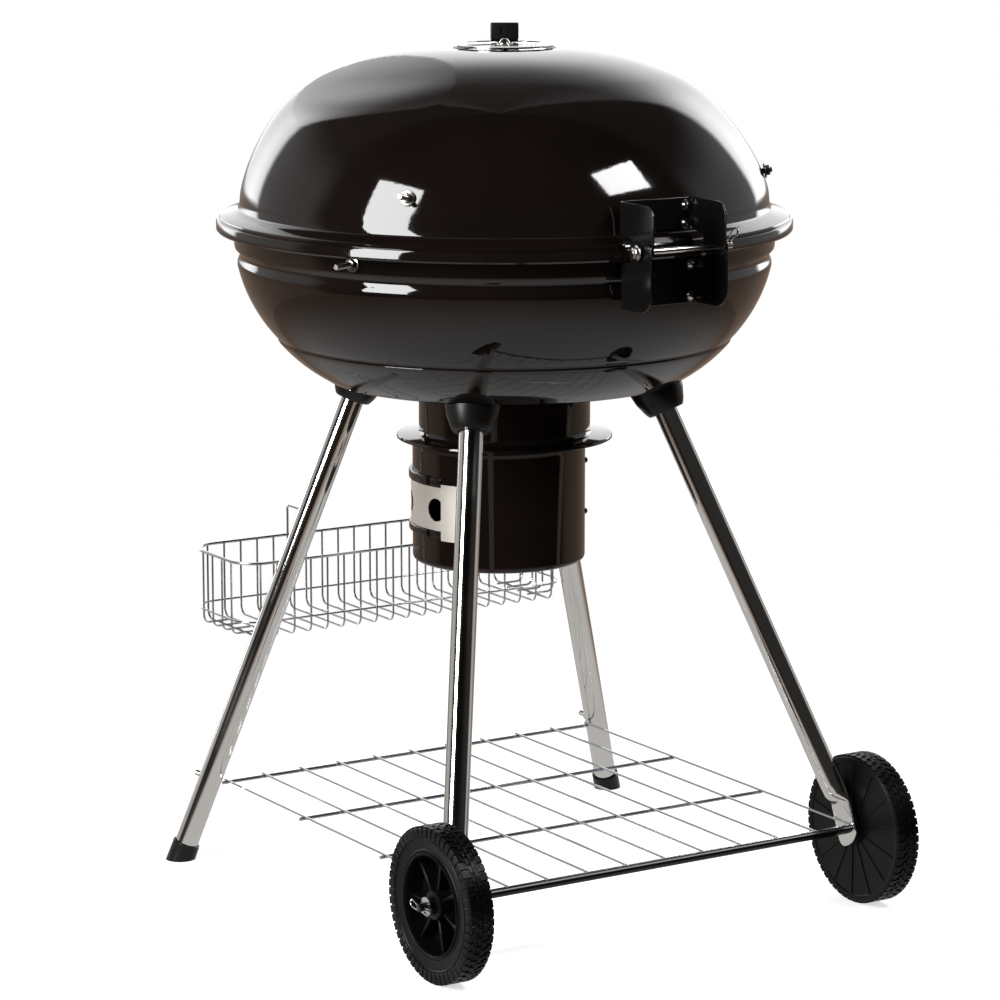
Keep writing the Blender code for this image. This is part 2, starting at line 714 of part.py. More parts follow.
def bowl_underside(parent):
    """The space that the bowl takes, a little larger all round, which the sockets are cut by."""
    side = bowl_outline()[1]
    grown = sheet_profile(side, -0.0004)[len(side) :][::-1]
    profile = [(0.0, 0.68)] + [(r, z) for r, z in grown] + [(0.0, grown[-1][1])]
    return cutter("bowl_underside", turned(profile, ROUND_SEGMENTS, closed=False), parent)


def oval(centre, half_x, half_y, sides=16):
    turns = [2 * math.pi * i / sides for i in range(sides)]
    return [centre + Vector((half_x * math.cos(t), half_y * math.sin(t), 0)) for t in turns]


def circle(centre, direction, radius, sides=16):
    """A circle across direction, whose points start at +X so that it lofts to an oval."""
    across = (Vector((1, 0, 0)) - direction * direction.x).normalized()
    other = across.cross(direction).normalized()
    if other.y < 0:
        other = -other
    turns = [2 * math.pi * i / sides for i in range(sides)]
    return [centre + (across * math.cos(t) + other * math.sin(t)) * radius for t in turns]


def loft(bm, loops):
    rings = [[bm.verts.new(point) for point in loop] for loop in loops]
    for low, high in zip(rings, rings[1:]):
        for i in range(len(low)):
            j = (i + 1) % len(low)
            bm.faces.new((low[i], low[j], high[j], high[i]))
    return rings


def make_legs(parent):
    top_z = LEG_JOIN_Z + 0.006
    for name, side in (("right", 1), ("left", -1)):
        point, direction = front_leg(side)
        length = (down_to(point, direction, 0.008) - down_to(point, direction, top_z)).length
        tube = ring(LEG_RADIUS, LEG_RADIUS - LEG_WALL, -length, 0.0, 16)
        top = down_to(point, direction, top_z)
        add_object("leg_front_" + name, tube, "chrome", parent, along_axis(top, -direction))
        make_socket("leg_socket_front_" + name, point, direction, parent)
        make_foot(name, point, direction, parent)
        make_wheel_leg(name, side, top_z, parent)
        make_socket("leg_socket_back_" + name, *back_leg(side), parent)


def make_foot(name, point, direction, parent):
    """A moulded cap on the leg's end, flat where it stands on the floor."""
    r = LEG_RADIUS + 0.0004
    floor = down_to(point, direction, 0.0)
    profile = [(0.0, 0.0045), (r, 0.0045), (r, 0.0200), (0.0148, 0.0200), (0.0153, -0.02), (0.0, -0.02)]
    bm = moved(turned(profile, 20, closed=False), along_axis(floor, -direction))
    bmesh.ops.remove_doubles(bm, verts=bm.verts, dist=0.000001)
    geometry = list(bm.verts) + list(bm.edges) + list(bm.faces)
    bmesh.ops.bisect_plane(bm, geom=geometry, plane_co=(0, 0, 0), plane_no=(0, 0, -1), clear_outer=True)
    rim = [edge for edge in bm.edges if edge.is_boundary]
    bmesh.ops.contextual_create(bm, geom=rim)
    add_object("foot_cap_" + name, bm, "black_plastic", parent)


def make_wheel_leg(name, side, top_z, parent):
    """A tube as far as the bend, then pressed flat into an upright tongue with the axle's hole."""
    point, direction = back_leg(side)
    top = down_to(point, direction, top_z)
    bend = down_to(point, direction, LEG_BEND_Z)
    x = side * TONGUE_X
    bm = bmesh.new()
    flat = [
        (LEG_BEND_Z - 0.014, 0.0075, 0.0150, 0.6),
        (LEG_BEND_Z - 0.026, 0.0040, 0.0163, 0.9),
        (LEG_BEND_Z - 0.036, 0.0028, 0.0168, 1.0),
        (WHEEL_RADIUS, 0.0028, 0.0168, 1.0),
        (WHEEL_RADIUS - 0.008, 0.0028, 0.0148, 1.0),
        (WHEEL_RADIUS - 0.0140, 0.0028, 0.0095, 1.0),
        (WHEEL_RADIUS - 0.0168, 0.0026, 0.0030, 1.0),
    ]
    loops = [circle(top, direction, LEG_RADIUS), circle(bend, direction, LEG_RADIUS)]
    for z, half_x, half_y, share in flat:
        centre = Vector((bend.x + (x - bend.x) * share, bend.y + (AXLE_Y - bend.y) * share, z))
        loops.append(oval(centre, half_x, half_y))
    outer = loft(bm, loops)
    bm.faces.new(outer[-1][::-1])
    bore = LEG_RADIUS - LEG_WALL
    stop = down_to(point, direction, LEG_BEND_Z + 0.004)
    inner = loft(bm, [circle(top, direction, bore), circle(stop, direction, bore)])
    bm.faces.new(inner[-1])
    for i in range(16):
        j = (i + 1) % 16
        bm.faces.new((outer[0][i], inner[0][i], inner[0][j], outer[0][j]))
    leg = add_object("leg_back_" + name, bm, "chrome", parent)
    hole = moved(stepped([(0.0045, 0.02), (0.0045, -0.02)], 12), Matrix.Rotation(math.pi / 2, 4, "Y"))
    place = Matrix.Translation((x, AXLE_Y, WHEEL_RADIUS))
    cut(leg, cutter("axle_hole_" + name, hole, parent, place))


def make_axle(parent):
    axle = stepped([(AXLE_RADIUS, AXLE_END_X), (AXLE_RADIUS, -AXLE_END_X)], 12)
    place = Matrix.Translation((0, AXLE_Y, WHEEL_RADIUS)) @ Matrix.Rotation(math.pi / 2, 4, "Y")
    rod = add_object("axle", axle, "black_steel", parent, place)
    for name, side in (("right", 1), ("left", -1)):
        spot = Vector((side * (AXLE_END_X - 0.005), AXLE_Y, WHEEL_RADIUS))
        hole = moved(stepped([(0.0013, 0.02), (0.0013, -0.02)], 8), Matrix.Translation(spot))
        cut(rod, cutter("axle_clip_hole_" + name, hole, parent))
        make_clip("axle_clip_" + name, spot, parent)
        washer = ring(0.0095, AXLE_RADIUS + 0.0005, -0.0006, 0.0006, 16)
        place = Matrix.Translation((side * (WHEEL_INNER_X + WHEEL_WIDTH + 0.0030), AXLE_Y, WHEEL_RADIUS))
        place = place @ Matrix.Rotation(math.pi / 2, 4, "Y")
        add_object("axle_washer_" + name, washer, "chrome", parent, place)


def make_wheel(name, side, parent):
    """One moulding: a tread ring, a thin web and a hub that runs on the axle."""
    half = WHEEL_WIDTH / 2
    bore = AXLE_RADIUS + 0.0006
    outline = [
        (bore, half),
        (bore, -half),
        (0.0140, -half),
        (0.0150, -0.0030),
        (0.0520, -0.0030),
        (0.0560, -half + 0.0010),
        (WHEEL_RADIUS - 0.0050, -half),
        (WHEEL_RADIUS, -half + 0.0045),
        (WHEEL_RADIUS, half - 0.0045),
        (WHEEL_RADIUS - 0.0050, half),
        (0.0560, half - 0.0010),
        (0.0520, 0.0030),
        (0.0150, 0.0030),
        (0.0140, half),
    ]
    place = Matrix.Rotation(math.pi / 2, 4, "Y")
    add_object("wheel_" + name, turned(outline, 40), "black_plastic", parent, place)


def grid(xs, ys, half, low, high):
    """A flat welded grille as one plate with a window in each cell."""
    bm = bmesh.new()
    lines_x = sorted(value + shift for value in xs for shift in (-half, half))
    lines_y = sorted(value + shift for value in ys for shift in (-half, half))
    spots = [[bm.verts.new((x, y, low)) for y in lines_y] for x in lines_x]
    for i in range(len(lines_x) - 1):
        for j in range(len(lines_y) - 1):
            if i % 2 and j % 2:
                continue
            bm.faces.new((spots[i][j], spots[i + 1][j], spots[i + 1][j + 1], spots[i][j + 1]))
    made = bmesh.ops.extrude_face_region(bm, geom=list(bm.faces), use_keep_orig=True)["geom"]
    bmesh.ops.translate(bm, vec=(0, 0, high - low), verts=[v for v in made if isinstance(v, bmesh.types.BMVert)])
    return bm


def make_shelf(parent):
    half = 0.0012
    reach = SHELF_HALF_X - half
    xs = [-reach + 2 * reach * i / 10 for i in range(11)]
    ys = [SHELF_FRONT_Y + half, -0.025, 0.143, SHELF_BACK_Y - half]
    low = WHEEL_RADIUS + AXLE_RADIUS + GAP
    add_object("bottom_shelf", grid(xs, ys, half, low, low + 0.0030), "plated_wire", parent)
    for name, side in (("right", 1), ("left", -1)):
        point, direction = front_leg(side)
        spot = down_to(point, direction, 0.090)
        bolt = stepped([(0.0055, 0.0), (0.0055, -0.005), (0.0030, -0.005), (0.0030, -0.018)], 12)
        start = spot + Vector((0, -LEG_RADIUS - 0.0014, 0))
        place = Matrix.Translation(start) @ Matrix.Rotation(-math.pi / 2, 4, "X")
        add_object("shelf_bolt_" + name, bolt, "chrome", parent, place)


def make_basket(parent):
    """An open tray of welded wire with round corners, hooked over the two front legs."""
    low_x, high_x = BASKET_X
    low_y, high_y = BASKET_Y
    radius = 0.030
    outline = rounded([(low_x, low_y, radius), (high_x, low_y, radius), (high_x, high_y, radius),
                       (low_x, high_y, radius)], 3)
    low, high = BASKET_Z
    wall = 0.0012
    centre = Vector(((low_x + high_x) / 2, (low_y + high_y) / 2))
    shrunk = rounded([(low_x + wall, low_y + wall, radius - wall), (high_x - wall, low_y + wall, radius - wall),
                      (high_x - wall, high_y - wall, radius - wall), (low_x + wall, high_y - wall, radius - wall)], 3)
    bm = bmesh.new()
    loops = [
        [Vector((*centre.lerp(Vector(p), 0.97), low)) for p in outline],
        [Vector((x, y, low + 0.012)) for x, y in outline],
        [Vector((x, y, high)) for x, y in outline],
        [Vector((x, y, high)) for x, y in shrunk],
        [Vector((x, y, low + 0.012)) for x, y in shrunk],
        [Vector((*centre.lerp(Vector(p), 0.97), low + wall)) for p in shrunk],
    ]
    rings = loft(bm, loops)
    bm.faces.new(rings[0][::-1])
    bm.faces.new(rings[-1])
    add_object("wire_basket", bm, "plated_wire", parent)
    for name, side in (("right", 1), ("left", -1)):
        point, direction = front_leg(side)
        top_z = BASKET_Z[1] + 0.060
        leg = down_to(point, direction, top_z)
        y = BASKET_Y[1] - 0.0035
        points = [
            (leg.x, y, BASKET_Z[1] - 0.020),
            (leg.x, y, top_z - 0.004),
            (leg.x, y + 0.004, top_z),
            (leg.x, leg.y - LEG_RADIUS - 0.0035, top_z),
            (leg.x, leg.y - LEG_RADIUS - 0.0025, top_z - 0.003),
        ]
        wire("basket_hook_" + name, points, 0.0012, "plated_wire", parent, 1)


def main():
    clear_scene()
    kettle = add_empty("kettle", (0, KETTLE_Y, 0))
    lid_axis = add_empty("lid_axis", (0, HINGE_Y, HINGE_Z), kettle)
    lid = add_empty("lid_centre", (0, -HINGE_Y, -HINGE_Z), lid_axis)
    vent = add_empty("vent_axis", (0, 0, VENT_Z), lid)
    can = add_empty("can_axis", can_centre(), kettle)
    damper = add_empty("damper_axis", (0, 0, 0), can)
    make_bowl(kettle)
    make_collar(kettle)
    make_grates(kettle)
    make_bowl_studs(kettle)
    make_lid(lid)
    make_lid_studs(lid)
    make_vent(lid, vent)
    make_handle(lid)
    make_hinge(kettle, lid_axis)
    make_ash_can(can, damper)
    make_legs(kettle)
    make_axle(kettle)
    for name, side in (("right", 1), ("left", -1)):
        middle = side * (WHEEL_INNER_X + WHEEL_WIDTH / 2)
        hub = add_empty("wheel_axis_" + name, (middle, AXLE_Y, WHEEL_RADIUS), kettle)
        make_wheel(name, side, hub)
    make_shelf(kettle)
    make_basket(kettle)


main()
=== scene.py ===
"""The looks of a kettle charcoal grill on a wheeled stand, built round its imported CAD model."""

import math

import bmesh
import bpy
from mathutils import Matrix, Vector


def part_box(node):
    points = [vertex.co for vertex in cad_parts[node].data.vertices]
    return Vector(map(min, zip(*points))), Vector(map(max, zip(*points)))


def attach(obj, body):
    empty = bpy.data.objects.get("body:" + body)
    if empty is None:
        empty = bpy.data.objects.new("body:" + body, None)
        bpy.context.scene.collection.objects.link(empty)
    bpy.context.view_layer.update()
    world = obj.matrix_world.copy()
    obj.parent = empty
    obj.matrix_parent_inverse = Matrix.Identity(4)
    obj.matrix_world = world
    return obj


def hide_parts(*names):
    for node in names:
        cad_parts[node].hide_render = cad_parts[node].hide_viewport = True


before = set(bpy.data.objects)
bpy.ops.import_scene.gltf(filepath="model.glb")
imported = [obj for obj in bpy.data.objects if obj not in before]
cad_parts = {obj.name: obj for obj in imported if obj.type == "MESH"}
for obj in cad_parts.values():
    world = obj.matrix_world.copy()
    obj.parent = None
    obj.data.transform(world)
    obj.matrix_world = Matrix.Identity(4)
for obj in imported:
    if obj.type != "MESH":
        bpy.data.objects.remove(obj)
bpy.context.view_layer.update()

# ---- Studio ----
# A pale floor that runs on to the horizon, two softboxes and a dark room with a bright wall
# behind the grill, which the gloss enamel and the chrome reflect.
scene = bpy.context.scene
scene.view_settings.view_transform = "Standard"
bowl_low, bowl_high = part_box("bowl")
kettle_y = (bowl_low.y + bowl_high.y) / 2
kettle_place = Matrix.Translation((0, kettle_y, 0))

camera = bpy.data.objects.new("camera", bpy.data.cameras.new("camera"))
scene.collection.objects.link(camera)
scene.camera = camera
camera.location = (2.125, 3.391 + kettle_y, 1.1854)
camera.rotation_euler = (math.radians(78.986), 0, math.radians(147.994))
camera.data.lens = 138.08
camera.data.sensor_width = 36
camera.data.clip_end = 100


def softbox(name, azimuth, elevation, width, height, watts):
    """A rectangular light aimed at the kettle. Azimuth 0 is the front, and 90 is towards +X."""
    a, e = math.radians(azimuth), math.radians(elevation)
    towards = Vector((math.sin(a) * math.cos(e), -math.cos(a) * math.cos(e), math.sin(e)))
    light = bpy.data.lights.new(name, "AREA")
    light.shape = "RECTANGLE"
    light.size, light.size_y = width, height
    light.energy = watts
    lamp = bpy.data.objects.new(name, light)
    scene.collection.objects.link(lamp)
    lamp.location = Vector((0, kettle_y, 0.78)) + towards * 2.35
    lamp.rotation_euler = towards.to_track_quat("Z", "Y").to_euler()


softbox("tall_softbox", 99, 14, 0.85, 1.70, 84)
softbox("high_softbox", 208, 38, 0.80, 0.52, 30)

world = bpy.data.worlds.new("studio")
scene.world = world
world.use_nodes = True
sky, sky_links = world.node_tree.nodes, world.node_tree.links


def sky_step(value, low, high, from_tone, to_tone):
    """A soft step of the value from one number to another."""
    node = sky.new("ShaderNodeMapRange")
    node.interpolation_type = "SMOOTHSTEP"
    for name, number in (("From Min", low), ("From Max", high), ("To Min", from_tone), ("To Max", to_tone)):
        node.inputs[name].default_value = number
    sky_links.new(value, node.inputs["Value"])
    return node.outputs["Result"]


def sky_sum(operation, first, second):
    node = sky.new("ShaderNodeMath")
    node.operation = operation
    sky_links.new(first, node.inputs[0])
    sky_links.new(second, node.inputs[1])
    return node.outputs["Value"]


way = sky.new("ShaderNodeTexCoord")
parts = sky.new("ShaderNodeSeparateXYZ")
sky_links.new(way.outputs["Generated"], parts.inputs[0])
level_way = sky.new("ShaderNodeCombineXYZ")
sky_links.new(parts.outputs["X"], level_way.inputs["X"])
sky_links.new(parts.outputs["Y"], level_way.inputs["Y"])
level_unit = sky.new("ShaderNodeVectorMath")
level_unit.operation = "NORMALIZE"
sky_links.new(level_way.outputs["Vector"], level_unit.inputs[0])
towards_wall = sky.new("ShaderNodeVectorMath")
towards_wall.operation = "DOT_PRODUCT"
towards_wall.inputs[1].default_value = (-0.485, -0.875, 0)
sky_links.new(level_unit.outputs["Vector"], towards_wall.inputs[0])
facing, rising = towards_wall.outputs["Value"], parts.outputs["Z"]
bright_wall = sky_sum("MULTIPLY", sky_step(facing, 0.70, 0.76, 0, 1), sky_step(facing, 0.80, 0.98, 4.2, 1.3))
bright_wall = sky_sum("MULTIPLY", bright_wall, sky_step(rising, 0.34, 0.80, 1, 0.06))
bright_wall = sky_sum("MULTIPLY", bright_wall, sky_step(rising, -0.06, 0.0, 0, 1))
grey_sides = sky_sum(
    "MULTIPLY", sky_step(facing, -0.1, 0.15, 0.03, 0.5), sky_step(rising, 0.35, 0.65, 1, 0.1)
)
above = sky_sum("ADD", bright_wall, grey_sides)
tinted = sky.new("ShaderNodeMix")
tinted.data_type = "RGBA"
tinted.inputs["A"].default_value = (0.60, 0.44, 0.34, 1)
tinted.inputs["B"].default_value = (1, 1, 1, 1)
sky_links.new(sky_step(rising, -0.12, 0.0, 0, 1), tinted.inputs["Factor"])
shaded = sky.new("ShaderNodeVectorMath")
shaded.operation = "SCALE"
sky_links.new(tinted.outputs["Result"], shaded.inputs[0])
sky_links.new(above, shaded.inputs["Scale"])
seen = sky.new("ShaderNodeLightPath")
backing = sky.new("ShaderNodeMix")
backing.data_type = "RGBA"
backing.inputs["B"].default_value = (1, 1, 1, 1)
sky_links.new(seen.outputs["Is Camera Ray"], backing.inputs["Factor"])
sky_links.new(shaded.outputs["Vector"], backing.inputs["A"])
sky_links.new(backing.outputs["Result"], sky["Background"].inputs["Color"])

floor_mesh = bmesh.new()
bmesh.ops.create_circle(floor_mesh, cap_ends=True, segments=96, radius=1.45)
floor_data = bpy.data.meshes.new("floor")
floor_mesh.to_mesh(floor_data)
floor_mesh.free()
floor = bpy.data.objects.new("floor", floor_data)
scene.collection.objects.link(floor)
floor_paint = bpy.data.materials.new("pale_floor")
floor_paint.use_nodes = True
paint, paint_links = floor_paint.node_tree.nodes, floor_paint.node_tree.links
paper = paint["Principled BSDF"]
paper.inputs["Base Color"].default_value = (0.80, 0.80, 0.80, 1)
paper.inputs["Roughness"].default_value = 0.8
paper.inputs["Specular IOR Level"].default_value = 0.0
paper.inputs["Emission Color"].default_value = (1, 1, 1, 1)
paper.inputs["Emission Strength"].default_value = 0.62
glow = paint.new("ShaderNodeEmission")
glow.inputs["Strength"].default_value = 1.0
spot = paint.new("ShaderNodeTexCoord")
reach = paint.new("ShaderNodeVectorMath")
reach.operation = "LENGTH"
paint_links.new(spot.outputs["Object"], reach.inputs[0])
fade = paint.new("ShaderNodeMapRange")
fade.interpolation_type = "SMOOTHSTEP"
fade.inputs["From Min"].default_value = 0.45
fade.inputs["From Max"].default_value = 1.35
paint_links.new(reach.outputs["Value"], fade.inputs["Value"])
blend = paint.new("ShaderNodeMixShader")
paint_links.new(fade.outputs["Result"], blend.inputs["Fac"])
paint_links.new(paper.outputs["BSDF"], blend.inputs[1])
paint_links.new(glow.outputs["Emission"], blend.inputs[2])
dim_glow = paint.new("ShaderNodeEmission")
dim_glow.inputs["Strength"].default_value = 0.62
warmer = paint.new("ShaderNodeMix")
warmer.data_type = "RGBA"
warmer.inputs["A"].default_value = (1, 1, 1, 1)
warmer.inputs["B"].default_value = (0.36, 0.26, 0.20, 1)
paint_links.new(fade.outputs["Result"], warmer.inputs["Factor"])
paint_links.new(warmer.outputs["Result"], dim_glow.inputs["Color"])
direct = paint.new("ShaderNodeLightPath")
told_apart = paint.new("ShaderNodeMixShader")
paint_links.new(direct.outputs["Is Camera Ray"], told_apart.inputs["Fac"])
paint_links.new(dim_glow.outputs["Emission"], told_apart.inputs[1])
paint_links.new(blend.outputs["Shader"], told_apart.inputs[2])
paint_links.new(told_apart.outputs["Shader"], paint["Material Output"].inputs["Surface"])
floor_data.materials.append(floor_paint)


# ---- Bowl ----
# Pressed sheet steel, fired with black gloss enamel. It has a rolled flange, a groove below it
# that the grate's studs go through, a step low on its side and a hole for the ash.
def finish_material(name, colour, rough, metal, grain, bump, tint=None, wave=0.0, shine=0.5):
    """A painted, plated or moulded finish.

    rough is its lowest and highest roughness, grain the size of its texture per metre, bump the
    texture's height in metres, tint a second colour that it drifts towards and wave the height of
    a long, slow unevenness of the sheet.
    """
    made = bpy.data.materials.new(name)
    made.use_nodes = True
    nodes, links = made.node_tree.nodes, made.node_tree.links
    shader = nodes["Principled BSDF"]
    shader.inputs["Metallic"].default_value = metal
    shader.inputs["Specular IOR Level"].default_value = shine
    shader.inputs["Base Color"].default_value = (*colour, 1)
    coords = nodes.new("ShaderNodeTexCoord")
    fine = nodes.new("ShaderNodeTexNoise")
    fine.inputs["Scale"].default_value = grain
    fine.inputs["Detail"].default_value = 3
    links.new(coords.outputs["Object"], fine.inputs["Vector"])
    cloud = nodes.new("ShaderNodeTexNoise")
    cloud.inputs["Scale"].default_value = 14
    cloud.inputs["Detail"].default_value = 5
    links.new(coords.outputs["Object"], cloud.inputs["Vector"])
    spread = nodes.new("ShaderNodeMapRange")
    spread.inputs["From Min"].default_value = 0.35
    spread.inputs["From Max"].default_value = 0.68
    spread.inputs["To Min"].default_value = rough[0]
    spread.inputs["To Max"].default_value = rough[1]
    links.new(cloud.outputs["Fac"], spread.inputs["Value"])
    links.new(spread.outputs["Result"], shader.inputs["Roughness"])
    raised = nodes.new("ShaderNodeBump")
    raised.inputs["Strength"].default_value = 1.0
    raised.inputs["Distance"].default_value = bump
    links.new(fine.outputs["Fac"], raised.inputs["Height"])
    links.new(raised.outputs["Normal"], shader.inputs["Normal"])
    if wave:
        slow = nodes.new("ShaderNodeTexNoise")
        slow.inputs["Scale"].default_value = 9
        slow.inputs["Detail"].default_value = 1
        links.new(coords.outputs["Object"], slow.inputs["Vector"])
        uneven = nodes.new("ShaderNodeBump")
        uneven.inputs["Distance"].default_value = wave
        links.new(slow.outputs["Fac"], uneven.inputs["Height"])
        links.new(uneven.outputs["Normal"], raised.inputs["Normal"])
    if tint:
        drift = nodes.new("ShaderNodeMix")
        drift.data_type = "RGBA"
        drift.inputs["A"].default_value = (*colour, 1)
        drift.inputs["B"].default_value = (*tint, 1)
        links.new(cloud.outputs["Fac"], drift.inputs["Factor"])
        links.new(drift.outputs["Result"], shader.inputs["Base Color"])
    return made


black_enamel = finish_material(
    "black_enamel", (0.0034, 0.0026, 0.0024), (0.03, 0.07), 0.0, 160, 0.00003, (0.0085, 0.0052, 0.0040),
    0.0005,
)


def arc(start, middle, end, steps):
    """Points along the circle through three points, from start to end."""
    a, b, c = (Vector((*point, 0)) for point in (start, middle, end))
    across, other = b - a, c - a
    normal = across.cross(other)
    aside = normal.cross(across) * other.length_squared + other.cross(normal) * across.length_squared
    centre = a + aside / (2 * normal.length_squared)
    first, last = a - centre, c - centre
    sweep = first.angle(last) * (1 if normal.z > 0 else -1)
    turns = [Matrix.Rotation(sweep * i / steps, 3, "Z") for i in range(steps + 1)]
    return [tuple((centre + turn @ first).xy) for turn in turns]


def smooth_line(points, steps=4):
    """A smooth curve through every point, as a Catmull-Rom spline."""
    out = []
    for i in range(len(points) - 1):
        before = points[max(i - 1, 0)]
        after = points[min(i + 2, len(points) - 1)]
        a, b, c, d = (Vector(point) for point in (before, points[i], points[i + 1], after))
        knots = [0.0]
        for first, second in ((a, b), (b, c), (c, d)):
            knots.append(knots[-1] + max(math.sqrt((second - first).length), 1e-4))
        t0, t1, t2, t3 = knots
        for k in range(steps):
            t = t1 + (t2 - t1) * k / steps
            p = a * ((t1 - t) / (t1 - t0)) + b * ((t - t0) / (t1 - t0))
            q = b * ((t2 - t) / (t2 - t1)) + c * ((t - t1) / (t2 - t1))
            r = c * ((t3 - t) / (t3 - t2)) + d * ((t - t2) / (t3 - t2))
            p = p * ((t2 - t) / (t2 - t0)) + q * ((t - t0) / (t2 - t0))
            q = q * ((t3 - t) / (t3 - t1)) + r * ((t - t1) / (t3 - t1))
            out.append(tuple(p * ((t2 - t) / (t2 - t1)) + q * ((t - t1) / (t2 - t1))))
    return out + [tuple(points[-1])]


def turned(outline, steps=144, wall=0.0, axis_z=0.0, round_by=0.0):
    """Turns an (r, z) outline round Z, and gives it a wall if it is a sheet.

    A solid's outline is closed, or starts and ends on the axis. Corners are rounded by round_by.
    """
    bm = bmesh.new()
    points = [bm.verts.new((r, 0, z)) for r, z in outline]
    for pair in zip(points, points[1:]):
        bm.edges.new(pair)
    on_axis = outline[0][0] < 1e-6 and outline[-1][0] < 1e-6
    if not wall and not on_axis:
        bm.edges.new((points[-1], points[0]))
    if round_by:
        inner = [v for v in points if len(v.link_edges) == 2]
        bmesh.ops.bevel(
            bm, geom=inner, offset=round_by, segments=2, profile=0.5, affect="VERTICES", material=-1
        )
    bmesh.ops.spin(
        bm,
        geom=list(bm.verts) + list(bm.edges),
        cent=(0, 0, 0),
        axis=(0, 0, 1),
        steps=steps,
        angle=2 * math.pi,
        use_merge=True,
    )
    bmesh.ops.remove_doubles(bm, verts=bm.verts, dist=1e-6)
    bmesh.ops.recalc_face_normals(bm, faces=bm.faces)
    if wall:
        centre = Vector((0, 0, axis_z))
        if sum((f.calc_center_median() - centre).dot(f.normal) * f.calc_area() for f in bm.faces) < 0:
            bmesh.ops.reverse_faces(bm, faces=bm.faces)
        bmesh.ops.solidify(bm, geom=list(bm.faces), thickness=wall)
    return bm


def moved(bm, place):
    """Puts a shape where a matrix says."""
    bmesh.ops.transform(bm, matrix=place, verts=bm.verts)
    return bm


def show(name, bm, material, body, stands_for=(), sharp=34, place=kettle_place):
    """Makes the shape an object at the origin, which rides on a body and stands for CAD nodes."""
    moved(bm, place)
    mesh = bpy.data.meshes.new(name)
    bm.to_mesh(mesh)
    bm.free()
    mesh.shade_smooth()
    mesh.set_sharp_from_angle(angle=math.radians(sharp))
    mesh.materials.append(material)
    piece = bpy.data.objects.new(name, mesh)
    scene.collection.objects.link(piece)
    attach(piece, body)
    if stands_for:
        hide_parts(*stands_for)
    return piece


bowl_side = (
    [(0.2830, 0.7050), (0.2830, 0.6822), (0.2822, 0.6795), (0.2785, 0.6755), (0.2775, 0.6735)]
    + [(0.2775, 0.6712), (0.2788, 0.6678), (0.2797, 0.6655)]
    + arc((0.2798, 0.6615), (0.2665, 0.6242), (0.2415, 0.5880), 26)
    + [(0.2388, 0.5858), (0.2382, 0.5840), (0.2384, 0.5825)]
    + arc((0.2372, 0.5806), (0.2190, 0.5628), (0.1953, 0.5460), 14)
    + [
        (0.1915, 0.5438), (0.1880, 0.5416), (0.1850, 0.5400), (0.1800, 0.5393), (0.1765, 0.5396),
        (0.1740, 0.5404),
    ]
    + [(0.1700, 0.5407), (0.1500, 0.5402), (0.1200, 0.5396), (0.0900, 0.5391)]
)
bowl_flange = [(0.2985, 0.7000), (0.2996, 0.6996), (0.3002, 0.7003), (0.3002, 0.7070), (0.2996, 0.7082)]
bowl_flange += [(0.2985, 0.7086), (0.2860, 0.7086), (0.2840, 0.7080), (0.2832, 0.7068)]
bowl = turned(bowl_flange + bowl_side, 176, 0.0014, 0.66)
show("bowl", bowl, black_enamel, "kettle", ["bowl"])

# ---- Ash collar ----
# A pressed collar below the bowl's ash hole. Its brim sits on the can's mouth, and the spigot
# under the brim goes inside the can.
collar_outline = [(0.1080, 0.5387), (0.1080, 0.5372), (0.0925, 0.5372), (0.0912, 0.5366), (0.0907, 0.5350)]
collar_outline += [
    (0.0907, 0.5335), (0.0907, 0.4875), (0.0907, 0.4860), (0.0912, 0.4830), (0.0925, 0.4815),
    (0.0945, 0.4811), (0.1120, 0.4801),
]
collar_outline += [(0.1134, 0.4797), (0.1140, 0.4786), (0.1140, 0.4766), (0.1132, 0.4762), (0.1126, 0.4768)]
collar_outline += [(0.1124, 0.4782), (0.1110, 0.4787), (0.0850, 0.4795), (0.0838, 0.4788), (0.0835, 0.4775)]
collar_outline += [(0.0835, 0.4610), (0.0822, 0.4610), (0.0822, 0.4800), (0.0890, 0.4830), (0.0892, 0.5387)]
collar = turned(collar_outline, 128)
show("bowl_collar", collar, black_enamel, "kettle", ["bowl_collar"])


# ---- Grates ----
# Two round grates of welded steel rod: the cooking grate rests on three clips near the rim, and
# the charcoal grate lies where the bowl narrows.
def rod(bm, points, thickness, bend=0.0, sides=10, closed=False):
    """Adds a round wire through the points, with its corners bent to a radius."""
    path = []
    count = len(points)
    for i, point in enumerate(points):
        here = Vector(point)
        if not bend or (not closed and i in (0, count - 1)):
            path.append(here)
            continue
        before, after = Vector(points[i - 1]), Vector(points[(i + 1) % count])
        back, on = (before - here).normalized(), (after - here).normalized()
        half = back.angle(on) / 2
        run = min(bend / math.tan(half), (before - here).length * 0.48, (after - here).length * 0.48)
        centre = here + (back + on).normalized() * (run / math.cos(half))
        spoke, last = here + back * run - centre, here + on * run - centre
        steps = max(3, round(math.degrees(math.pi - 2 * half) / 11))
        swing = spoke.rotation_difference(last)
        for k in range(steps + 1):
            path.append(centre + Matrix.Rotation(swing.angle * k / steps, 3, swing.axis) @ spoke)
    curve = bpy.data.curves.new("rod", "CURVE")
    curve.dimensions = "3D"
    curve.bevel_depth = thickness / 2
    curve.bevel_resolution = max(1, sides // 4 - 1)
    curve.use_fill_caps = not closed
    spline = curve.splines.new("POLY")
    spline.points.add(len(path) - 1)
    for spot_on, place in zip(spline.points, path):
        spot_on.co = (*place, 1)
    spline.use_cyclic_u = closed
    holder = bpy.data.objects.new("rod", curve)
    mesh = bpy.data.meshes.new_from_object(holder)
    bm.from_mesh(mesh)
    bpy.data.objects.remove(holder)
    bpy.data.meshes.remove(mesh)
    bpy.data.curves.remove(curve)
    return bm


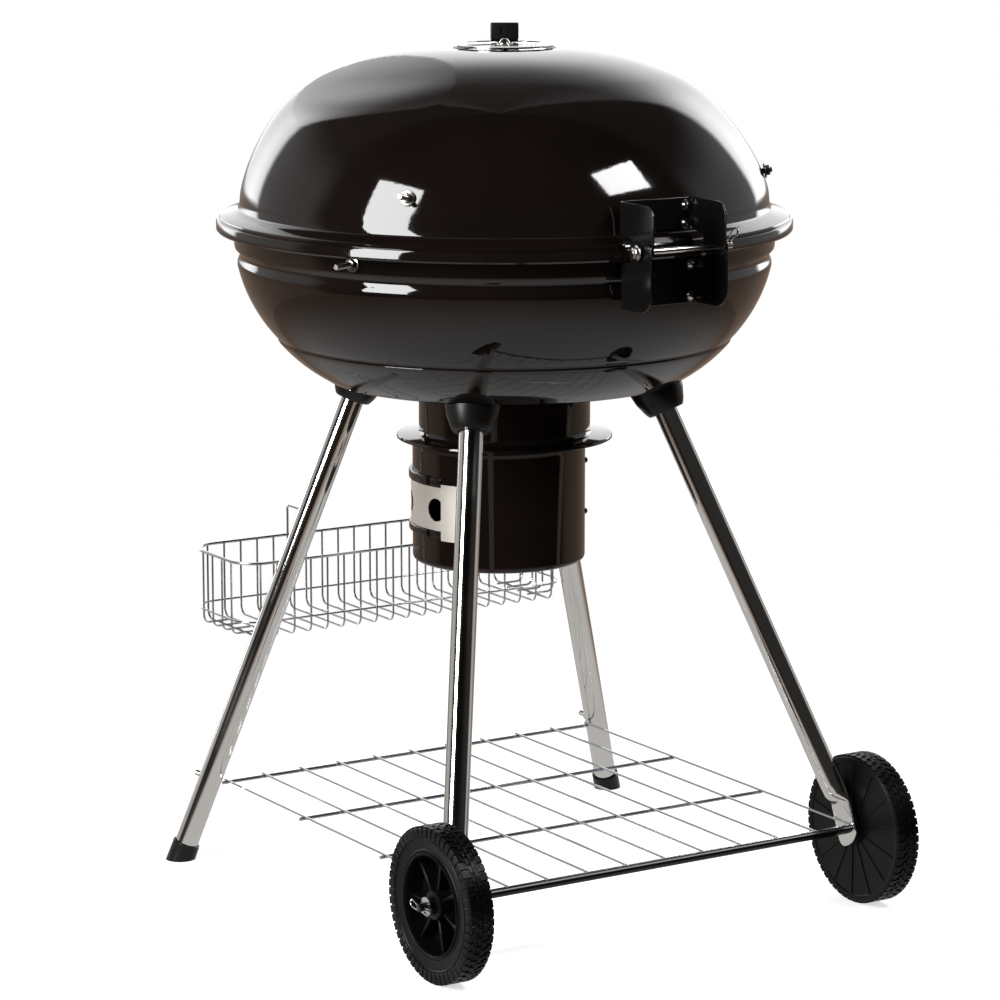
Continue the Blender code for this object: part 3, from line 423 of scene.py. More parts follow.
def hoop(bm, radius, z, thickness, steps=72, centre=(0, 0)):
    """Adds a round hoop of wire."""
    turns = [2 * math.pi * i / steps for i in range(steps)]
    points = [(centre[0] + radius * math.cos(t), centre[1] + radius * math.sin(t), z) for t in turns]
    return rod(bm, points, thickness, closed=True)


grate_steel = finish_material(
    "grate_steel", (0.42, 0.42, 0.43), (0.22, 0.42), 1.0, 500, 0.00003, (0.30, 0.29, 0.28)
)
for grate_name, grate_radius, grate_z, rods, thick in (
    ("cooking_grate", 0.2640, 0.6890, 25, 0.0040),
    ("charcoal_grate", 0.2240, 0.5830, 13, 0.0050),
):
    grate = hoop(bmesh.new(), grate_radius, grate_z, thick + 0.001)
    for i in range(rods):
        x = grate_radius * (2 * (i + 0.5) / rods - 1)
        half = math.sqrt(grate_radius**2 - x**2)
        rod(grate, [(x, -half, grate_z + 0.0005), (x, half, grate_z + 0.0005)], thick, sides=8)
    for y in (-0.4, 0.4):
        half = grate_radius * math.sqrt(1 - y**2)
        spot_y = grate_radius * y
        rod(grate, [(-half, spot_y, grate_z - thick * 0.8), (half, spot_y, grate_z - thick * 0.8)], thick)
    show(grate_name, grate, grate_steel, "kettle", [grate_name])


# ---- Studs ----
# Long set screws, each with a washer and a nut on the outside. The bowl's three hold the grate's
# clips, and the lid's three are screwed in the same way above the flange.
def add_shape(bm, other):
    """Adds another shape to this one."""
    mesh = bpy.data.meshes.new("added")
    other.to_mesh(mesh)
    other.free()
    bm.from_mesh(mesh)
    bpy.data.meshes.remove(mesh)


def soften(bm, width, segments=2, profile=0.5, edges=None):
    """Rounds some edges of a shape, or all of them."""
    chosen = list(bm.edges) if edges is None else edges
    bmesh.ops.bevel(
        bm, geom=chosen, offset=width, segments=segments, profile=profile, affect="EDGES", material=-1
    )


def slice_at(bm, point, normal, clear=False):
    """Cuts a shape's faces where they cross a plane, and may clear away what is past it."""
    everything = list(bm.verts) + list(bm.edges) + list(bm.faces)
    bmesh.ops.bisect_plane(bm, geom=everything, plane_co=point, plane_no=normal, clear_outer=clear)


def fastener(parts, segments=24):
    """Stacks round and six-sided steps along Z: (kind, radius, low, high)."""
    bm = bmesh.new()
    for kind, radius, low, high in parts:
        sides = 6 if kind == "hex" else segments
        step = bmesh.new()
        bmesh.ops.create_cone(
            step, cap_ends=True, segments=sides, radius1=radius, radius2=radius, depth=high - low
        )
        bmesh.ops.translate(step, vec=(0, 0, (low + high) / 2), verts=step.verts)
        if kind == "thread":
            pitch = 0.0010
            cuts = int((high - low) / pitch * 2)
            for k in range(1, cuts):
                cut_z = low + (high - low) * k / cuts
                slice_at(step, (0, 0, cut_z), (0, 0, 1))
            for vert in step.verts:
                ring_number = round((vert.co.z - low) / (high - low) * cuts)
                if ring_number % 2 or ring_number in (0, cuts):
                    vert.co.xy *= 0.84
        elif kind == "dome":
            rim = [v for v in step.verts if v.co.z > (low + high) / 2]
            bmesh.ops.scale(step, vec=(0.45, 0.45, 1), verts=rim)
            soften(step, radius * 0.16, 3, 0.6)
        else:
            edge = min(radius * 0.12, (high - low) * 0.3)
            soften(step, edge)
        add_shape(bm, step)
    return bm


def outwards(angle, radius, z, lift=0.0):
    """A frame whose Z points out of the kettle, tipped up by lift degrees."""
    tip = Matrix.Rotation(math.radians(90 - lift), 4, "X")
    return Matrix.Rotation(math.radians(angle), 4, "Z") @ Matrix.Translation((0, -radius, z)) @ tip


bright_plate = finish_material(
    "bright_plate", (0.66, 0.65, 0.63), (0.12, 0.30), 1.0, 900, 0.00001, (0.55, 0.53, 0.50)
)
dull_zinc = finish_material(
    "dull_zinc", (0.34, 0.33, 0.31), (0.16, 0.34), 1.0, 900, 0.00001, (0.24, 0.23, 0.21)
)
bowl_stud_angles = (-4, 116, 253)
lid_studs = ((7.5, 0.024), (127.5, 0.024), (238.0, 0.010))
bowl_stud = [
    ("thread", 0.0030, 0.0060, 0.0300), ("hex", 0.0056, 0.0020, 0.0066), ("plain", 0.0080, 0.0005, 0.0020)
]
bowl_stud += [("plain", 0.0030, -0.0058, 0.0006)]
lid_stud = [("hex", 0.0056, 0.0032, 0.0076), ("plain", 0.0080, 0.0014, 0.0031)]
lid_stud += [("plain", 0.0030, -0.0055, 0.0015), ("hex", 0.0055, -0.0090, -0.0050)]
for number, (angle, reach) in enumerate(lid_studs, 1):
    stud = fastener(lid_stud + [("thread", 0.0030, 0.0070, reach)])
    moved(stud, outwards(angle, 0.2698, 0.7570, 11))
    show(f"lid_stud_{number}", stud, dull_zinc, "lid", [f"lid_stud_{number}"])
for number, angle in enumerate(bowl_stud_angles, 1):
    stud = fastener(bowl_stud)
    moved(stud, outwards(angle, 0.2830, 0.6905))
    show(f"bowl_stud_{number}", stud, dull_zinc, "kettle", [f"bowl_stud_{number}"])
    clip = bmesh.new()
    bmesh.ops.create_cube(clip, size=1)
    bmesh.ops.scale(clip, vec=(0.016, 0.0018, 0.0149), verts=clip.verts)
    bmesh.ops.translate(clip, vec=(0, -0.2757, 0.69105), verts=clip.verts)
    ledge_z = 0.6856
    slice_at(clip, (0, 0, ledge_z), (0, 0, 1))
    low_face = [f for f in clip.faces if f.normal.y > 0.9 and f.calc_center_median().z < ledge_z]
    pulled = bmesh.ops.extrude_face_region(clip, geom=low_face)["geom"]
    bmesh.ops.translate(
        clip, vec=(0, 0.0220, 0), verts=[v for v in pulled if isinstance(v, bmesh.types.BMVert)]
    )
    bmesh.ops.delete(clip, geom=low_face, context="FACES")
    soften(clip, 0.0004)
    turn = Matrix.Rotation(math.radians(angle), 4, "Z")
    moved(clip, turn)
    show(f"grate_clip_{number}", clip, bright_plate, "kettle", [f"grate_clip_{number}"])

# ---- Lid ----
# The same enamelled sheet as the bowl. The dome leans a little to one side of its flange, and the
# press has left a shallow flat with two soft creases near its crown.
lid_outline = [(0.2962, 0.7090), (0.2974, 0.7090), (0.2982, 0.7100), (0.2984, 0.7118), (0.2976, 0.7134)]
lid_outline += [(0.2950, 0.7146), (0.2850, 0.7176), (0.2810, 0.7192), (0.2786, 0.7212), (0.2774, 0.7240)]
lid_side = [(0.2769, 0.7275), (0.2754, 0.7400), (0.2705, 0.7560), (0.2628, 0.7735), (0.2519, 0.7930)]
lid_side += [(0.2388, 0.8120), (0.2232, 0.8300), (0.2066, 0.8447), (0.1863, 0.8573), (0.1632, 0.8670)]
lid_side += [
    (0.1350, 0.8760), (0.1061, 0.8822), (0.0768, 0.8857), (0.0560, 0.8868), (0.0300, 0.8873), (0.0036, 0.8875)
]
lid_outline += smooth_line(lid_side, 5)
lid_wall = 0.0013
lid = turned(lid_outline, 176, lid_wall, 0.75)


def smooth_rise(value, low, high):
    """From 0 at low to 1 at high, with soft ends."""
    share = min(max((value - low) / (high - low), 0.0), 1.0)
    return share * share * (3 - 2 * share)


lean_way = Vector((math.sin(math.radians(58)), -math.cos(math.radians(58)), 0))
lean = 0.0055
for vert in lid.verts:
    radius = vert.co.xy.length
    rise = smooth_rise(vert.co.z, 0.735, 0.845) * smooth_rise(radius, 0.055, 0.110)
    vert.co += lean_way * lean * rise
flat_way, flat_depth = Vector((0.461, 0.072, 0.884)).normalized(), 0.832
upper_way, pressed_in = Vector((-0.099, -0.159, 0.982)), 0.62
for skin in (0.0, lid_wall):
    slice_at(lid, flat_way * (flat_depth - skin), flat_way)
for vert in lid.verts:
    above_flat = vert.co.dot(flat_way) - flat_depth
    if above_flat > 0:
        high = smooth_rise(vert.co.dot(upper_way), 0.765, 0.835)
        vert.co -= flat_way * above_flat * pressed_in * high


def band(inner, outer, low, high, first, last, edge=0.0):
    """A strip of sheet bent round Z between two angles, with its edges rounded."""
    bm = bmesh.new()
    turn = Matrix.Rotation(math.radians(first), 3, "Z")
    corners = ((inner, low), (outer, low), (outer, high), (inner, high))
    face = bm.faces.new([bm.verts.new(turn @ Vector((0, -r, z))) for r, z in corners])
    steps = max(4, round((last - first) / 2.5))
    bmesh.ops.spin(
        bm, geom=[face], cent=(0, 0, 0), axis=(0, 0, 1), steps=steps, angle=math.radians(last - first)
    )
    bmesh.ops.recalc_face_normals(bm, faces=bm.faces)
    if edge:
        ends = [e for e in bm.edges if len(e.link_faces) == 2 and e.calc_face_angle(0) > 0.8]
        soften(bm, edge, edges=ends)
    return bm


def carved(bm, *tools):
    """The shape with the tools' space cut away."""
    holders = []
    for shape in (bm, *tools):
        mesh = bpy.data.meshes.new("carving")
        shape.to_mesh(mesh)
        shape.free()
        holder = bpy.data.objects.new("carving", mesh)
        scene.collection.objects.link(holder)
        holders.append(holder)
    for tool in holders[1:]:
        cut = holders[0].modifiers.new("cut", "BOOLEAN")
        cut.solver = "EXACT"
        cut.object = tool
    result = bmesh.new()
    result.from_object(holders[0], bpy.context.evaluated_depsgraph_get())
    for holder in holders:
        mesh = holder.data
        bpy.data.objects.remove(holder)
        bpy.data.meshes.remove(mesh)
    return result


vent_angle = -32.0
lid_drills = []
for quarter in range(4):
    drill = bmesh.new()
    bmesh.ops.create_cone(drill, cap_ends=True, segments=40, radius1=0.0105, radius2=0.0105, depth=0.03)
    turn = Matrix.Rotation(math.radians(vent_angle + 45 + 90 * quarter), 4, "Z")
    moved(drill, turn @ Matrix.Translation((0, -0.031, 0.8875)))
    lid_drills.append(drill)
lid = carved(lid, *lid_drills)
show("lid", lid, black_enamel, "lid", ["lid"], sharp=24)

# ---- Vent ----
# A chromed disc that turns on a screw over four openings in the lid's crown. It has a moulded tab
# at its edge for the fingers.
vent_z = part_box("vent_damper")[0].z
disc_outline = [
    (0.0, 0.0), (0.0515, 0.0), (0.0532, -0.0008), (0.0542, -0.0002), (0.0540, 0.0012), (0.0515, 0.0017)
]
disc_outline += [
    (0.0490, 0.0012), (0.0460, 0.0012), (0.0150, 0.0012), (0.0120, 0.0014), (0.0090, 0.0014), (0.0, 0.0014)
]
vent_chrome = finish_material(
    "vent_chrome", (0.66, 0.65, 0.64), (0.10, 0.22), 1.0, 700, 0.000012, (0.58, 0.57, 0.56)
)
disc = turned(disc_outline, 120)
bmesh.ops.translate(disc, vec=(0, 0, vent_z), verts=disc.verts)
openings = []
for quarter in range(4):
    middle = vent_angle + 45 + 90 * quarter
    openings.append(band(0.0150, 0.0460, vent_z - 0.01, vent_z + 0.01, middle - 24, middle + 24))
disc = carved(disc, *openings)
show("vent_damper", disc, vent_chrome, "vent", ["vent_damper"])
vent_screw = fastener(
    [("dome", 0.0064, 0.0018, 0.0064), ("plain", 0.0085, 0.0014, 0.0021), ("plain", 0.0030, -0.008, 0.002)]
)
bmesh.ops.translate(vent_screw, vec=(0, 0, vent_z), verts=vent_screw.verts)
show("vent_screw", vent_screw, bright_plate, "lid", ["vent_screw"])


def rounded_block(low, high, edge, segments=3):
    """A block with its edges rounded."""
    bm = bmesh.new()
    bmesh.ops.create_cube(bm, size=1)
    size, middle = Vector(high) - Vector(low), (Vector(high) + Vector(low)) / 2
    moved(bm, Matrix.Translation(middle) @ Matrix.Diagonal((*size, 1)))
    soften(bm, edge, segments)
    return bm


black_plastic = finish_material(
    "black_plastic", (0.0045, 0.0045, 0.0047), (0.26, 0.42), 0.0, 1400, 0.00003, (0.0070, 0.0068, 0.0065),
    shine=0.25,
)
slots = [
    rounded_block((left, near, 0.0070), (right, far, 0.0150), 0.0005, 1)
    for near, far in ((-0.0100, -0.0044), (-0.0004, 0.0100))
    for left, right in ((-0.0046, -0.0028), (0.0028, 0.0046))
]
tab = carved(rounded_block((-0.0148, -0.0060, 0.0016), (0.0148, 0.0012, 0.0195), 0.0014), *slots)
tab_place = Matrix.Translation((0, 0, vent_z)) @ Matrix.Rotation(math.radians(vent_angle), 4, "Z")
moved(tab, tab_place @ Matrix.Translation((0, -0.048, 0)))
show("vent_grip", tab, black_plastic, "vent", ["vent_grip"])

# ---- Lid handle ----
# A chromed rod bent to a U through a moulded grip. Both of its ends are nutted to the lid's front.
chrome = finish_material(
    "chrome", (0.74, 0.72, 0.69), (0.06, 0.13), 1.0, 1200, 0.000006, (0.64, 0.61, 0.57), 0.0002
)
handle_z, handle_reach, handle_half = 0.768, 0.325, 0.062
handle_foot = 0.263
handle_path = [(handle_half, -handle_foot, handle_z), (handle_half, -handle_reach, handle_z)]
handle_path += [(-handle_half, -handle_reach, handle_z), (-handle_half, -handle_foot, handle_z)]
handle_rod = rod(bmesh.new(), handle_path, 0.008, 0.012, 16)
show("lid_handle_rod", handle_rod, chrome, "lid", ["lid_handle_rod"])
grip_outline = [(0.0042, 0.0480), (0.0080, 0.0480), (0.0105, 0.0465), (0.0112, 0.0440), (0.0104, 0.0330)]
grip_outline += arc((0.0101, 0.0240), (0.0125, 0.0), (0.0101, -0.0240), 12)
grip_outline += [
    (0.0104, -0.0330), (0.0112, -0.0440), (0.0105, -0.0465), (0.0080, -0.0480), (0.0042, -0.0480)
]
handle_grip = turned(grip_outline, 48)
along_x = Matrix.Rotation(math.pi / 2, 4, "Y")
grip_place = Matrix.Translation((0, -handle_reach, handle_z)) @ along_x
moved(handle_grip, grip_place)
show("lid_handle_grip", handle_grip, black_plastic, "lid", ["lid_handle_grip"])
for name, x in (("right", handle_half), ("left", -handle_half)):
    nut = fastener([("hex", 0.0085, 0.0, 0.0040), ("plain", 0.0095, -0.0012, 0.0002)])
    place = Matrix.Translation((x, -0.2657, handle_z)) @ Matrix.Rotation(math.pi / 2, 4, "X")
    moved(nut, place)
    show(f"lid_handle_nut_{name}", nut, bright_plate, "lid", [f"lid_handle_nut_{name}"])

# ---- Hinge ----
# Two U-shaped brackets of 2 mm sheet in semi-gloss black paint, one screwed to the lid and one to
# the bowl. Their ears overlap on a long plated pin, which a spring clip holds at one end.
black_paint = finish_material(
    "black_paint", (0.0035, 0.0035, 0.0036), (0.12, 0.22), 0.0, 700, 0.00004, (0.0060, 0.0055, 0.0050),
    0.0004, 0.4,
)
hinge_low, hinge_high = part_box("hinge_pin")
hinge_y, hinge_z = (hinge_low.y + hinge_high.y) / 2 - kettle_y, (hinge_low.z + hinge_high.z) / 2


def bracket(corners, plate_y, half):
    """A strip bent to a U round the pin's ends, trimmed to an outline of (y, z, corner radius)."""
    bm = bmesh.new()
    bend, ear_end, low, tall, sheet = 0.005, 0.36, 0.63, 0.14, 0.0019
    path = [(-half, ear_end), (-half, plate_y + bend)]
    path += [
        (-half + bend - bend * math.cos(t), plate_y + bend - bend * math.sin(t)) for t in (0.52, 1.05, 1.571)
    ]
    path += [(-x, y) for x, y in path[::-1]]
    row = [bm.verts.new((x, y, low)) for x, y in path]
    edges = [bm.edges.new(pair) for pair in zip(row, row[1:])]
    up = bmesh.ops.extrude_edge_only(bm, edges=edges)["geom"]
    bmesh.ops.translate(bm, vec=(0, 0, tall), verts=[v for v in up if isinstance(v, bmesh.types.BMVert)])
    bmesh.ops.recalc_face_normals(bm, faces=bm.faces)
    if sum(f.normal.dot(f.calc_center_median() - Vector((0, 0.35, 0.7))) for f in bm.faces) < 0:
        bmesh.ops.reverse_faces(bm, faces=bm.faces)
    bmesh.ops.solidify(bm, geom=list(bm.faces), thickness=sheet)
    bmesh.ops.recalc_face_normals(bm, faces=bm.faces)
    waste = bmesh.new()
    bmesh.ops.create_cube(waste, size=0.4)
    bmesh.ops.translate(waste, vec=(0, 0.32, 0.7), verts=waste.verts)
    keep = bmesh.new()
    face = keep.faces.new([keep.verts.new((-0.1, y, z)) for y, z, _ in corners])
    by_radius = {}
    for vert, (_, _, radius) in zip(face.verts, corners):
        by_radius.setdefault(radius, []).append(vert)
    for radius, verts in by_radius.items():
        if radius:
            bmesh.ops.bevel(
                keep, geom=verts, offset=radius, segments=6, profile=0.5, affect="VERTICES", material=-1
            )
    pushed = bmesh.ops.extrude_face_region(keep, geom=list(keep.faces))["geom"]
    bmesh.ops.translate(keep, vec=(0.2, 0, 0), verts=[v for v in pushed if isinstance(v, bmesh.types.BMVert)])
    bmesh.ops.recalc_face_normals(keep, faces=keep.faces)
    return carved(bm, carved(waste, keep))


def with_soft_edges(piece, width, segments=2):
    """Rounds the sheared edges of a sheet piece."""
    edge = piece.modifiers.new("edges", "BEVEL")
    edge.width, edge.segments = width, segments
    edge.limit_method = "ANGLE"
    edge.angle_limit = math.radians(50)
    return piece


lid_ear = [(0.2784, 0.7548, 0.0), (0.2784, 0.7235, 0.0), (0.3025, 0.7200, 0.003), (0.3025, 0.7020, 0.004)]
lid_ear += [(0.3402, 0.7020, 0.008), (0.3402, 0.7548, 0.014)]
bowl_ear = [(0.2854, 0.6968, 0.0), (0.2854, 0.6498, 0.0), (0.3402, 0.6498, 0.018), (0.3402, 0.7187, 0.008)]
bowl_ear += [(0.3038, 0.7187, 0.004), (0.3038, 0.6968, 0.002)]
lid_bracket = bracket(lid_ear, 0.2785, 0.0436)
with_soft_edges(
    show("hinge_lid_bracket", lid_bracket, black_paint, "lid", ["hinge_lid_bracket"]), 0.0005
)
bowl_bracket = bracket(bowl_ear, 0.2855, 0.0460)
with_soft_edges(
    show("hinge_bowl_bracket", bowl_bracket, black_paint, "kettle", ["hinge_bowl_bracket"]),
    0.0005,
)
pin_parts = [
    ("hex", 0.0062, 0.0500, 0.0545), ("plain", 0.0078, 0.0482, 0.0500), ("plain", 0.0031, -0.0640, 0.0505)
]
hinge_pin = fastener(pin_parts)
pin_place = Matrix.Translation((0, hinge_y, hinge_z)) @ along_x
moved(hinge_pin, pin_place)
show("hinge_pin", hinge_pin, bright_plate, "kettle", ["hinge_pin"])


def spring_clip(place):
    """A hairpin of spring wire: one leg goes through the pin, and the other bows round it."""
    legs = [(0, -0.0120), (0, 0.0120), (0.0030, 0.0190), (0.0, 0.0240), (-0.0040, 0.0215), (-0.0052, 0.0140)]
    legs += [(-0.0046, 0.0040), (-0.0056, 0.0), (-0.0046, -0.0040), (-0.0072, -0.0105)]
    return moved(rod(bmesh.new(), [(0, y, z) for y, z in legs], 0.0018, 0.003, 8), place)


clip_tilt = Matrix.Rotation(math.radians(-42), 4, "X")
hinge_clip = spring_clip(Matrix.Translation((-0.0600, hinge_y, hinge_z)) @ clip_tilt)
show("hinge_clip", hinge_clip, bright_plate, "kettle", ["hinge_clip"])
screw = [("dome", 0.0047, 0.0, 0.0036), ("plain", 0.0056, -0.0002, 0.0006)]
face_back = Matrix.Rotation(-math.pi / 2, 4, "X")
for body, node, y, half, heights in (
    ("lid", "hinge_lid_screw", 0.2808, 0.036, (0.7468, 0.7288)),
    ("kettle", "hinge_bowl_screw", 0.2878, 0.038, (0.6886, 0.6570)),
):
    spots = [(x, z) for x in (half, -half) for z in heights]
    for number, (x, z) in enumerate(spots, 1):
        head = fastener(screw)
        moved(head, Matrix.Translation((x, y, z)) @ face_back)
        show(f"{node}_{number}", head, bright_plate, body, [f"{node}_{number}"])

# ---- Ash can ----
# A drawn can of the same enamelled steel, with three air holes. Two black rails guide a bare steel
# damper round it, and turning it moves its holes off the can's.
can_low, can_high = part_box("ash_can")
can_middle = (can_low + can_high) / 2
can_place = Matrix.Translation((can_middle.x, can_middle.y, 0))
can_radius = 0.0915
hole_angles = (26.0, 64.5, 103.0)


def air_drills():
    drills = []
    for angle in hole_angles:
        drill = bmesh.new()
        bmesh.ops.create_cone(drill, cap_ends=True, segments=48, radius1=0.0122, radius2=0.0122, depth=0.03)
        moved(drill, outwards(angle, can_radius, 0.4085))
        drills.append(drill)
    return drills


can_outline = [(0.0, 0.3450), (0.0780, 0.3450), (0.0820, 0.3456), (0.0836, 0.3452), (0.0860, 0.3450)]
can_outline += arc((0.0870, 0.3451), (0.0903, 0.3467), (0.0916, 0.3500), 6)
can_outline += [
    (0.0916, 0.3515), (0.0916, 0.3535), (0.0916, 0.4655), (0.0916, 0.4680), (0.0922, 0.4700),
    (0.0924, 0.4720), (0.0922, 0.4745), (0.0914, 0.4752),
]
can_outline += [
    (0.0905, 0.4746), (0.0902, 0.4700), (0.0902, 0.3510), (0.0885, 0.3470), (0.0850, 0.3465), (0.0, 0.3465)
]
ash_can = carved(turned(can_outline, 144), *air_drills())
show("ash_can", ash_can, black_enamel, "can", ["ash_can"], place=can_place)


for rail_name, low, high in (("damper_rail_upper", 0.4332, 0.4428), ("damper_rail_lower", 0.3782, 0.3862)):
    rail = band(can_radius + 0.0003, can_radius + 0.0040, low, high, -8, 96, 0.0010)
    foot = band(can_radius + 0.0003, can_radius + 0.0017, low + 0.0008, high - 0.0008, 95.5, 107, 0.0004)
    add_shape(rail, foot)
    show(rail_name, rail, black_paint, "can", [rail_name], place=can_place)
bare_steel = finish_material(
    "bare_steel", (0.62, 0.59, 0.55), (0.34, 0.50), 0.85, 1500, 0.00002, (0.60, 0.57, 0.52)
)
plate = carved(band(can_radius + 0.0006, can_radius + 0.0018, 0.3866, 0.4328, -4, 107.5), *air_drills())
add_shape(plate, band(can_radius + 0.0006, can_radius + 0.0018, 0.3766, 0.4364, 107.5, 128))
with_soft_edges(
    show("ash_damper", plate, bare_steel, "damper", ["ash_damper"], place=can_place), 0.0003
)
for number, z in enumerate((0.450, 0.395), 1):
    rivet = fastener([("dome", 0.0038, 0.0, 0.0026)])
    moved(rivet, outwards(238, can_radius + 0.0002, z))
    show(f"can_rivet_{number}", rivet, black_paint, "can", place=can_place)

# ---- Leg sockets ----
# Moulded cups that take the legs' upper ends and bear against the bowl's underside.
join_z = 0.513
leg_tops = {
    "front_right": (Vector((0.117, -0.117, join_z)), Vector((0.1626, -0.103, -join_z)).normalized()),
    "front_left": (Vector((-0.117, -0.117, join_z)), Vector((-0.1626, -0.103, -join_z)).normalized()),
    "back_right": (Vector((0.119, 0.127, join_z)), Vector((0.2901, 0.3886, -1)).normalized()),
    "back_left": (Vector((-0.119, 0.127, join_z)), Vector((-0.2901, 0.3886, -1)).normalized()),
}


def along(point, direction):
    """A frame at the point whose Z runs along the direction."""
    return Matrix.Translation(point) @ direction.to_track_quat("Z", "Y").to_matrix().to_4x4()


cup_outline = [(0.0, 0.0340), (0.0300, 0.0340), (0.0266, 0.0150), (0.0222, 0.0030), (0.0196, -0.0018)]
cup_outline += [(0.0186, -0.0030), (0.0146, -0.0034), (0.0132, -0.0028), (0.0131, 0.0105), (0.0, 0.0105)]
bowl_space = [(r + 0.0004, z - 0.0004) for r, z in bowl_side[8:]]
for name, (point, direction) in leg_tops.items():
    space = turned([(0.0, 0.66)] + bowl_space + [(0.0, bowl_space[-1][1])], 96)
    cup = turned(cup_outline, 64)
    moved(cup, along(point, -direction))
    cup = carved(cup, space)
    node = f"leg_socket_{name}"
    with_soft_edges(show(node, cup, black_plastic, "kettle", [node]), 0.0006)

# ---- Legs ----
# Chromed steel tube, 25 mm across. The front pair stand on moulded caps. The back pair are bent
# upright near their ends and pressed flat into tongues that hold the axle.
leg_radius = 0.0127
axle_low, axle_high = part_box("axle")
axle_y, axle_z = (axle_low.y + axle_high.y) / 2 - kettle_y, (axle_low.z + axle_high.z) / 2


def ring_of(bm, centre, normal, half_x, half_y, sides=40):
    """Adds a hoop of edges across a direction, and gives its edges."""
    made = bmesh.ops.create_circle(bm, segments=sides, radius=1)["verts"]
    across = (Vector((1, 0, 0)) - normal * normal.x).normalized()
    other = normal.cross(across).normalized()
    if other.y < 0:
        other = -other
    for vert in made:
        vert.co = centre + across * (vert.co.x * half_x) + other * (vert.co.y * half_y)
    return list({edge for vert in made for edge in vert.link_edges})


def drawn_tube(hoops):
    """Joins hoops of edges end to end and closes both ends."""
    bm = bmesh.new()
    loops = [ring_of(bm, *hoop_of) for hoop_of in hoops]
    for first, second in zip(loops, loops[1:]):
        bmesh.ops.bridge_loops(bm, edges=first + second)
    bmesh.ops.holes_fill(bm, edges=[e for e in bm.edges if e.is_boundary])
    bmesh.ops.recalc_face_normals(bm, faces=bm.faces)
    return bm


crease_z = 0.1055
for side_name, side in (("right", 1), ("left", -1)):
    point, direction = leg_tops[f"front_{side_name}"]
    spots = [point + direction * ((z - join_z) / direction.z) for z in (0.519, 0.35, 0.18, 0.006)]
    leg = drawn_tube([(spot_at, direction, leg_radius, leg_radius) for spot_at in spots])
    show(f"leg_front_{side_name}", leg, chrome, "kettle", [f"leg_front_{side_name}"])
    point, direction = leg_tops[f"back_{side_name}"]
    tongue_x = side * 0.2375
    hoops = []
    for z in (0.519, 0.40, 0.28, 0.18, 0.140, 0.126):
        hoops.append((point + direction * ((z - join_z) / direction.z), direction, leg_radius, leg_radius))
    bend = point + direction * ((crease_z - join_z) / direction.z)
    pressed = (
        (0.1165, 0.0120, 0.0131), (0.1125, 0.0094, 0.0142), (0.1090, 0.0058, 0.0155), (0.1065, 0.0034, 0.0163)
    )
    pressed += (
        (0.1045, 0.0028, 0.0166), (0.1020, 0.0028, 0.0168), (0.0950, 0.0028, 0.0168),
        (0.0790, 0.0028, 0.0168), (0.0740, 0.0028, 0.0161),
    )
    pressed += (
        (0.0700, 0.0028, 0.0144), (0.0665, 0.0028, 0.0118), (0.0640, 0.0027, 0.0084), (0.0624, 0.0024, 0.0045)
    )
    for z, half_x, half_y in pressed:
        down = min(max((crease_z - z) / (crease_z - axle_z), 0.0), 1.2)
        centre = bend + direction * ((z - bend.z) / direction.z)
        if z < crease_z:
            centre.y = bend.y + (axle_y - bend.y) * down
            centre.x = bend.x + (tongue_x - bend.x) * min(1.0, down * 2.2)
        tilt = direction if z > crease_z else Vector((0, axle_y - bend.y, axle_z - crease_z)).normalized()
        centre.z = z
        hoops.append((centre, tilt, half_x, half_y))
    leg = drawn_tube(hoops)
    name = f"leg_back_{side_name}"
    show(name, leg, chrome, "kettle", [name])

# ---- Foot caps ----
# Moulded caps pushed on the front legs' ends and trimmed level with the floor.
for side_name in ("right", "left"):
    point, direction = leg_tops[f"front_{side_name}"]
    floor_spot = point + direction * (-join_z / direction.z)
    cap_outline = [(0.0, 0.0045), (0.0131, 0.0045), (0.0131, 0.0196), (0.0140, 0.0202), (0.0149, 0.0198)]
    cap_outline += [(0.0151, 0.0185), (0.0149, 0.0170), (0.0150, 0.0100), (0.0154, -0.0180), (0.0, -0.0180)]
    cap = turned(cap_outline, 56)
    moved(cap, along(floor_spot, -direction))
    slice_at(cap, (0, 0, 0), (0, 0, -1), clear=True)
    bmesh.ops.holes_fill(cap, edges=[e for e in cap.edges if e.is_boundary])
    show(f"foot_cap_{side_name}", cap, black_plastic, "kettle", [f"foot_cap_{side_name}"])

# ---- Axle ----
# A dark steel rod through both tongues, with a washer and a spring clip outside each wheel.
wheel_low, wheel_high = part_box("wheel_right")
axle = fastener([("plain", 0.0040, axle_low.x, axle_high.x)], 32)
axle_place = Matrix.Translation((0, axle_y, axle_z))
moved(axle, axle_place @ along_x)
show("axle", axle, black_paint, "kettle", ["axle"])
for side_name, side in (("right", 1), ("left", -1)):
    washer = turned([(0.0045, 0.0006), (0.0095, 0.0006), (0.0095, -0.0006), (0.0045, -0.0006)], 48)
    place = axle_place @ Matrix.Translation((side * (wheel_high.x + 0.0030), 0, 0)) @ along_x
    moved(washer, place)
    show(f"axle_washer_{side_name}", washer, bright_plate, "kettle", [f"axle_washer_{side_name}"])
    clip_spot = Matrix.Translation((side * (axle_high.x - 0.005), 0, 0)) @ Matrix.Rotation(
        math.pi / 2, 4, "X"
    )
    axle_clip = spring_clip(axle_place @ clip_spot)
    show(f"axle_clip_{side_name}", axle_clip, bright_plate, "kettle", [f"axle_clip_{side_name}"])

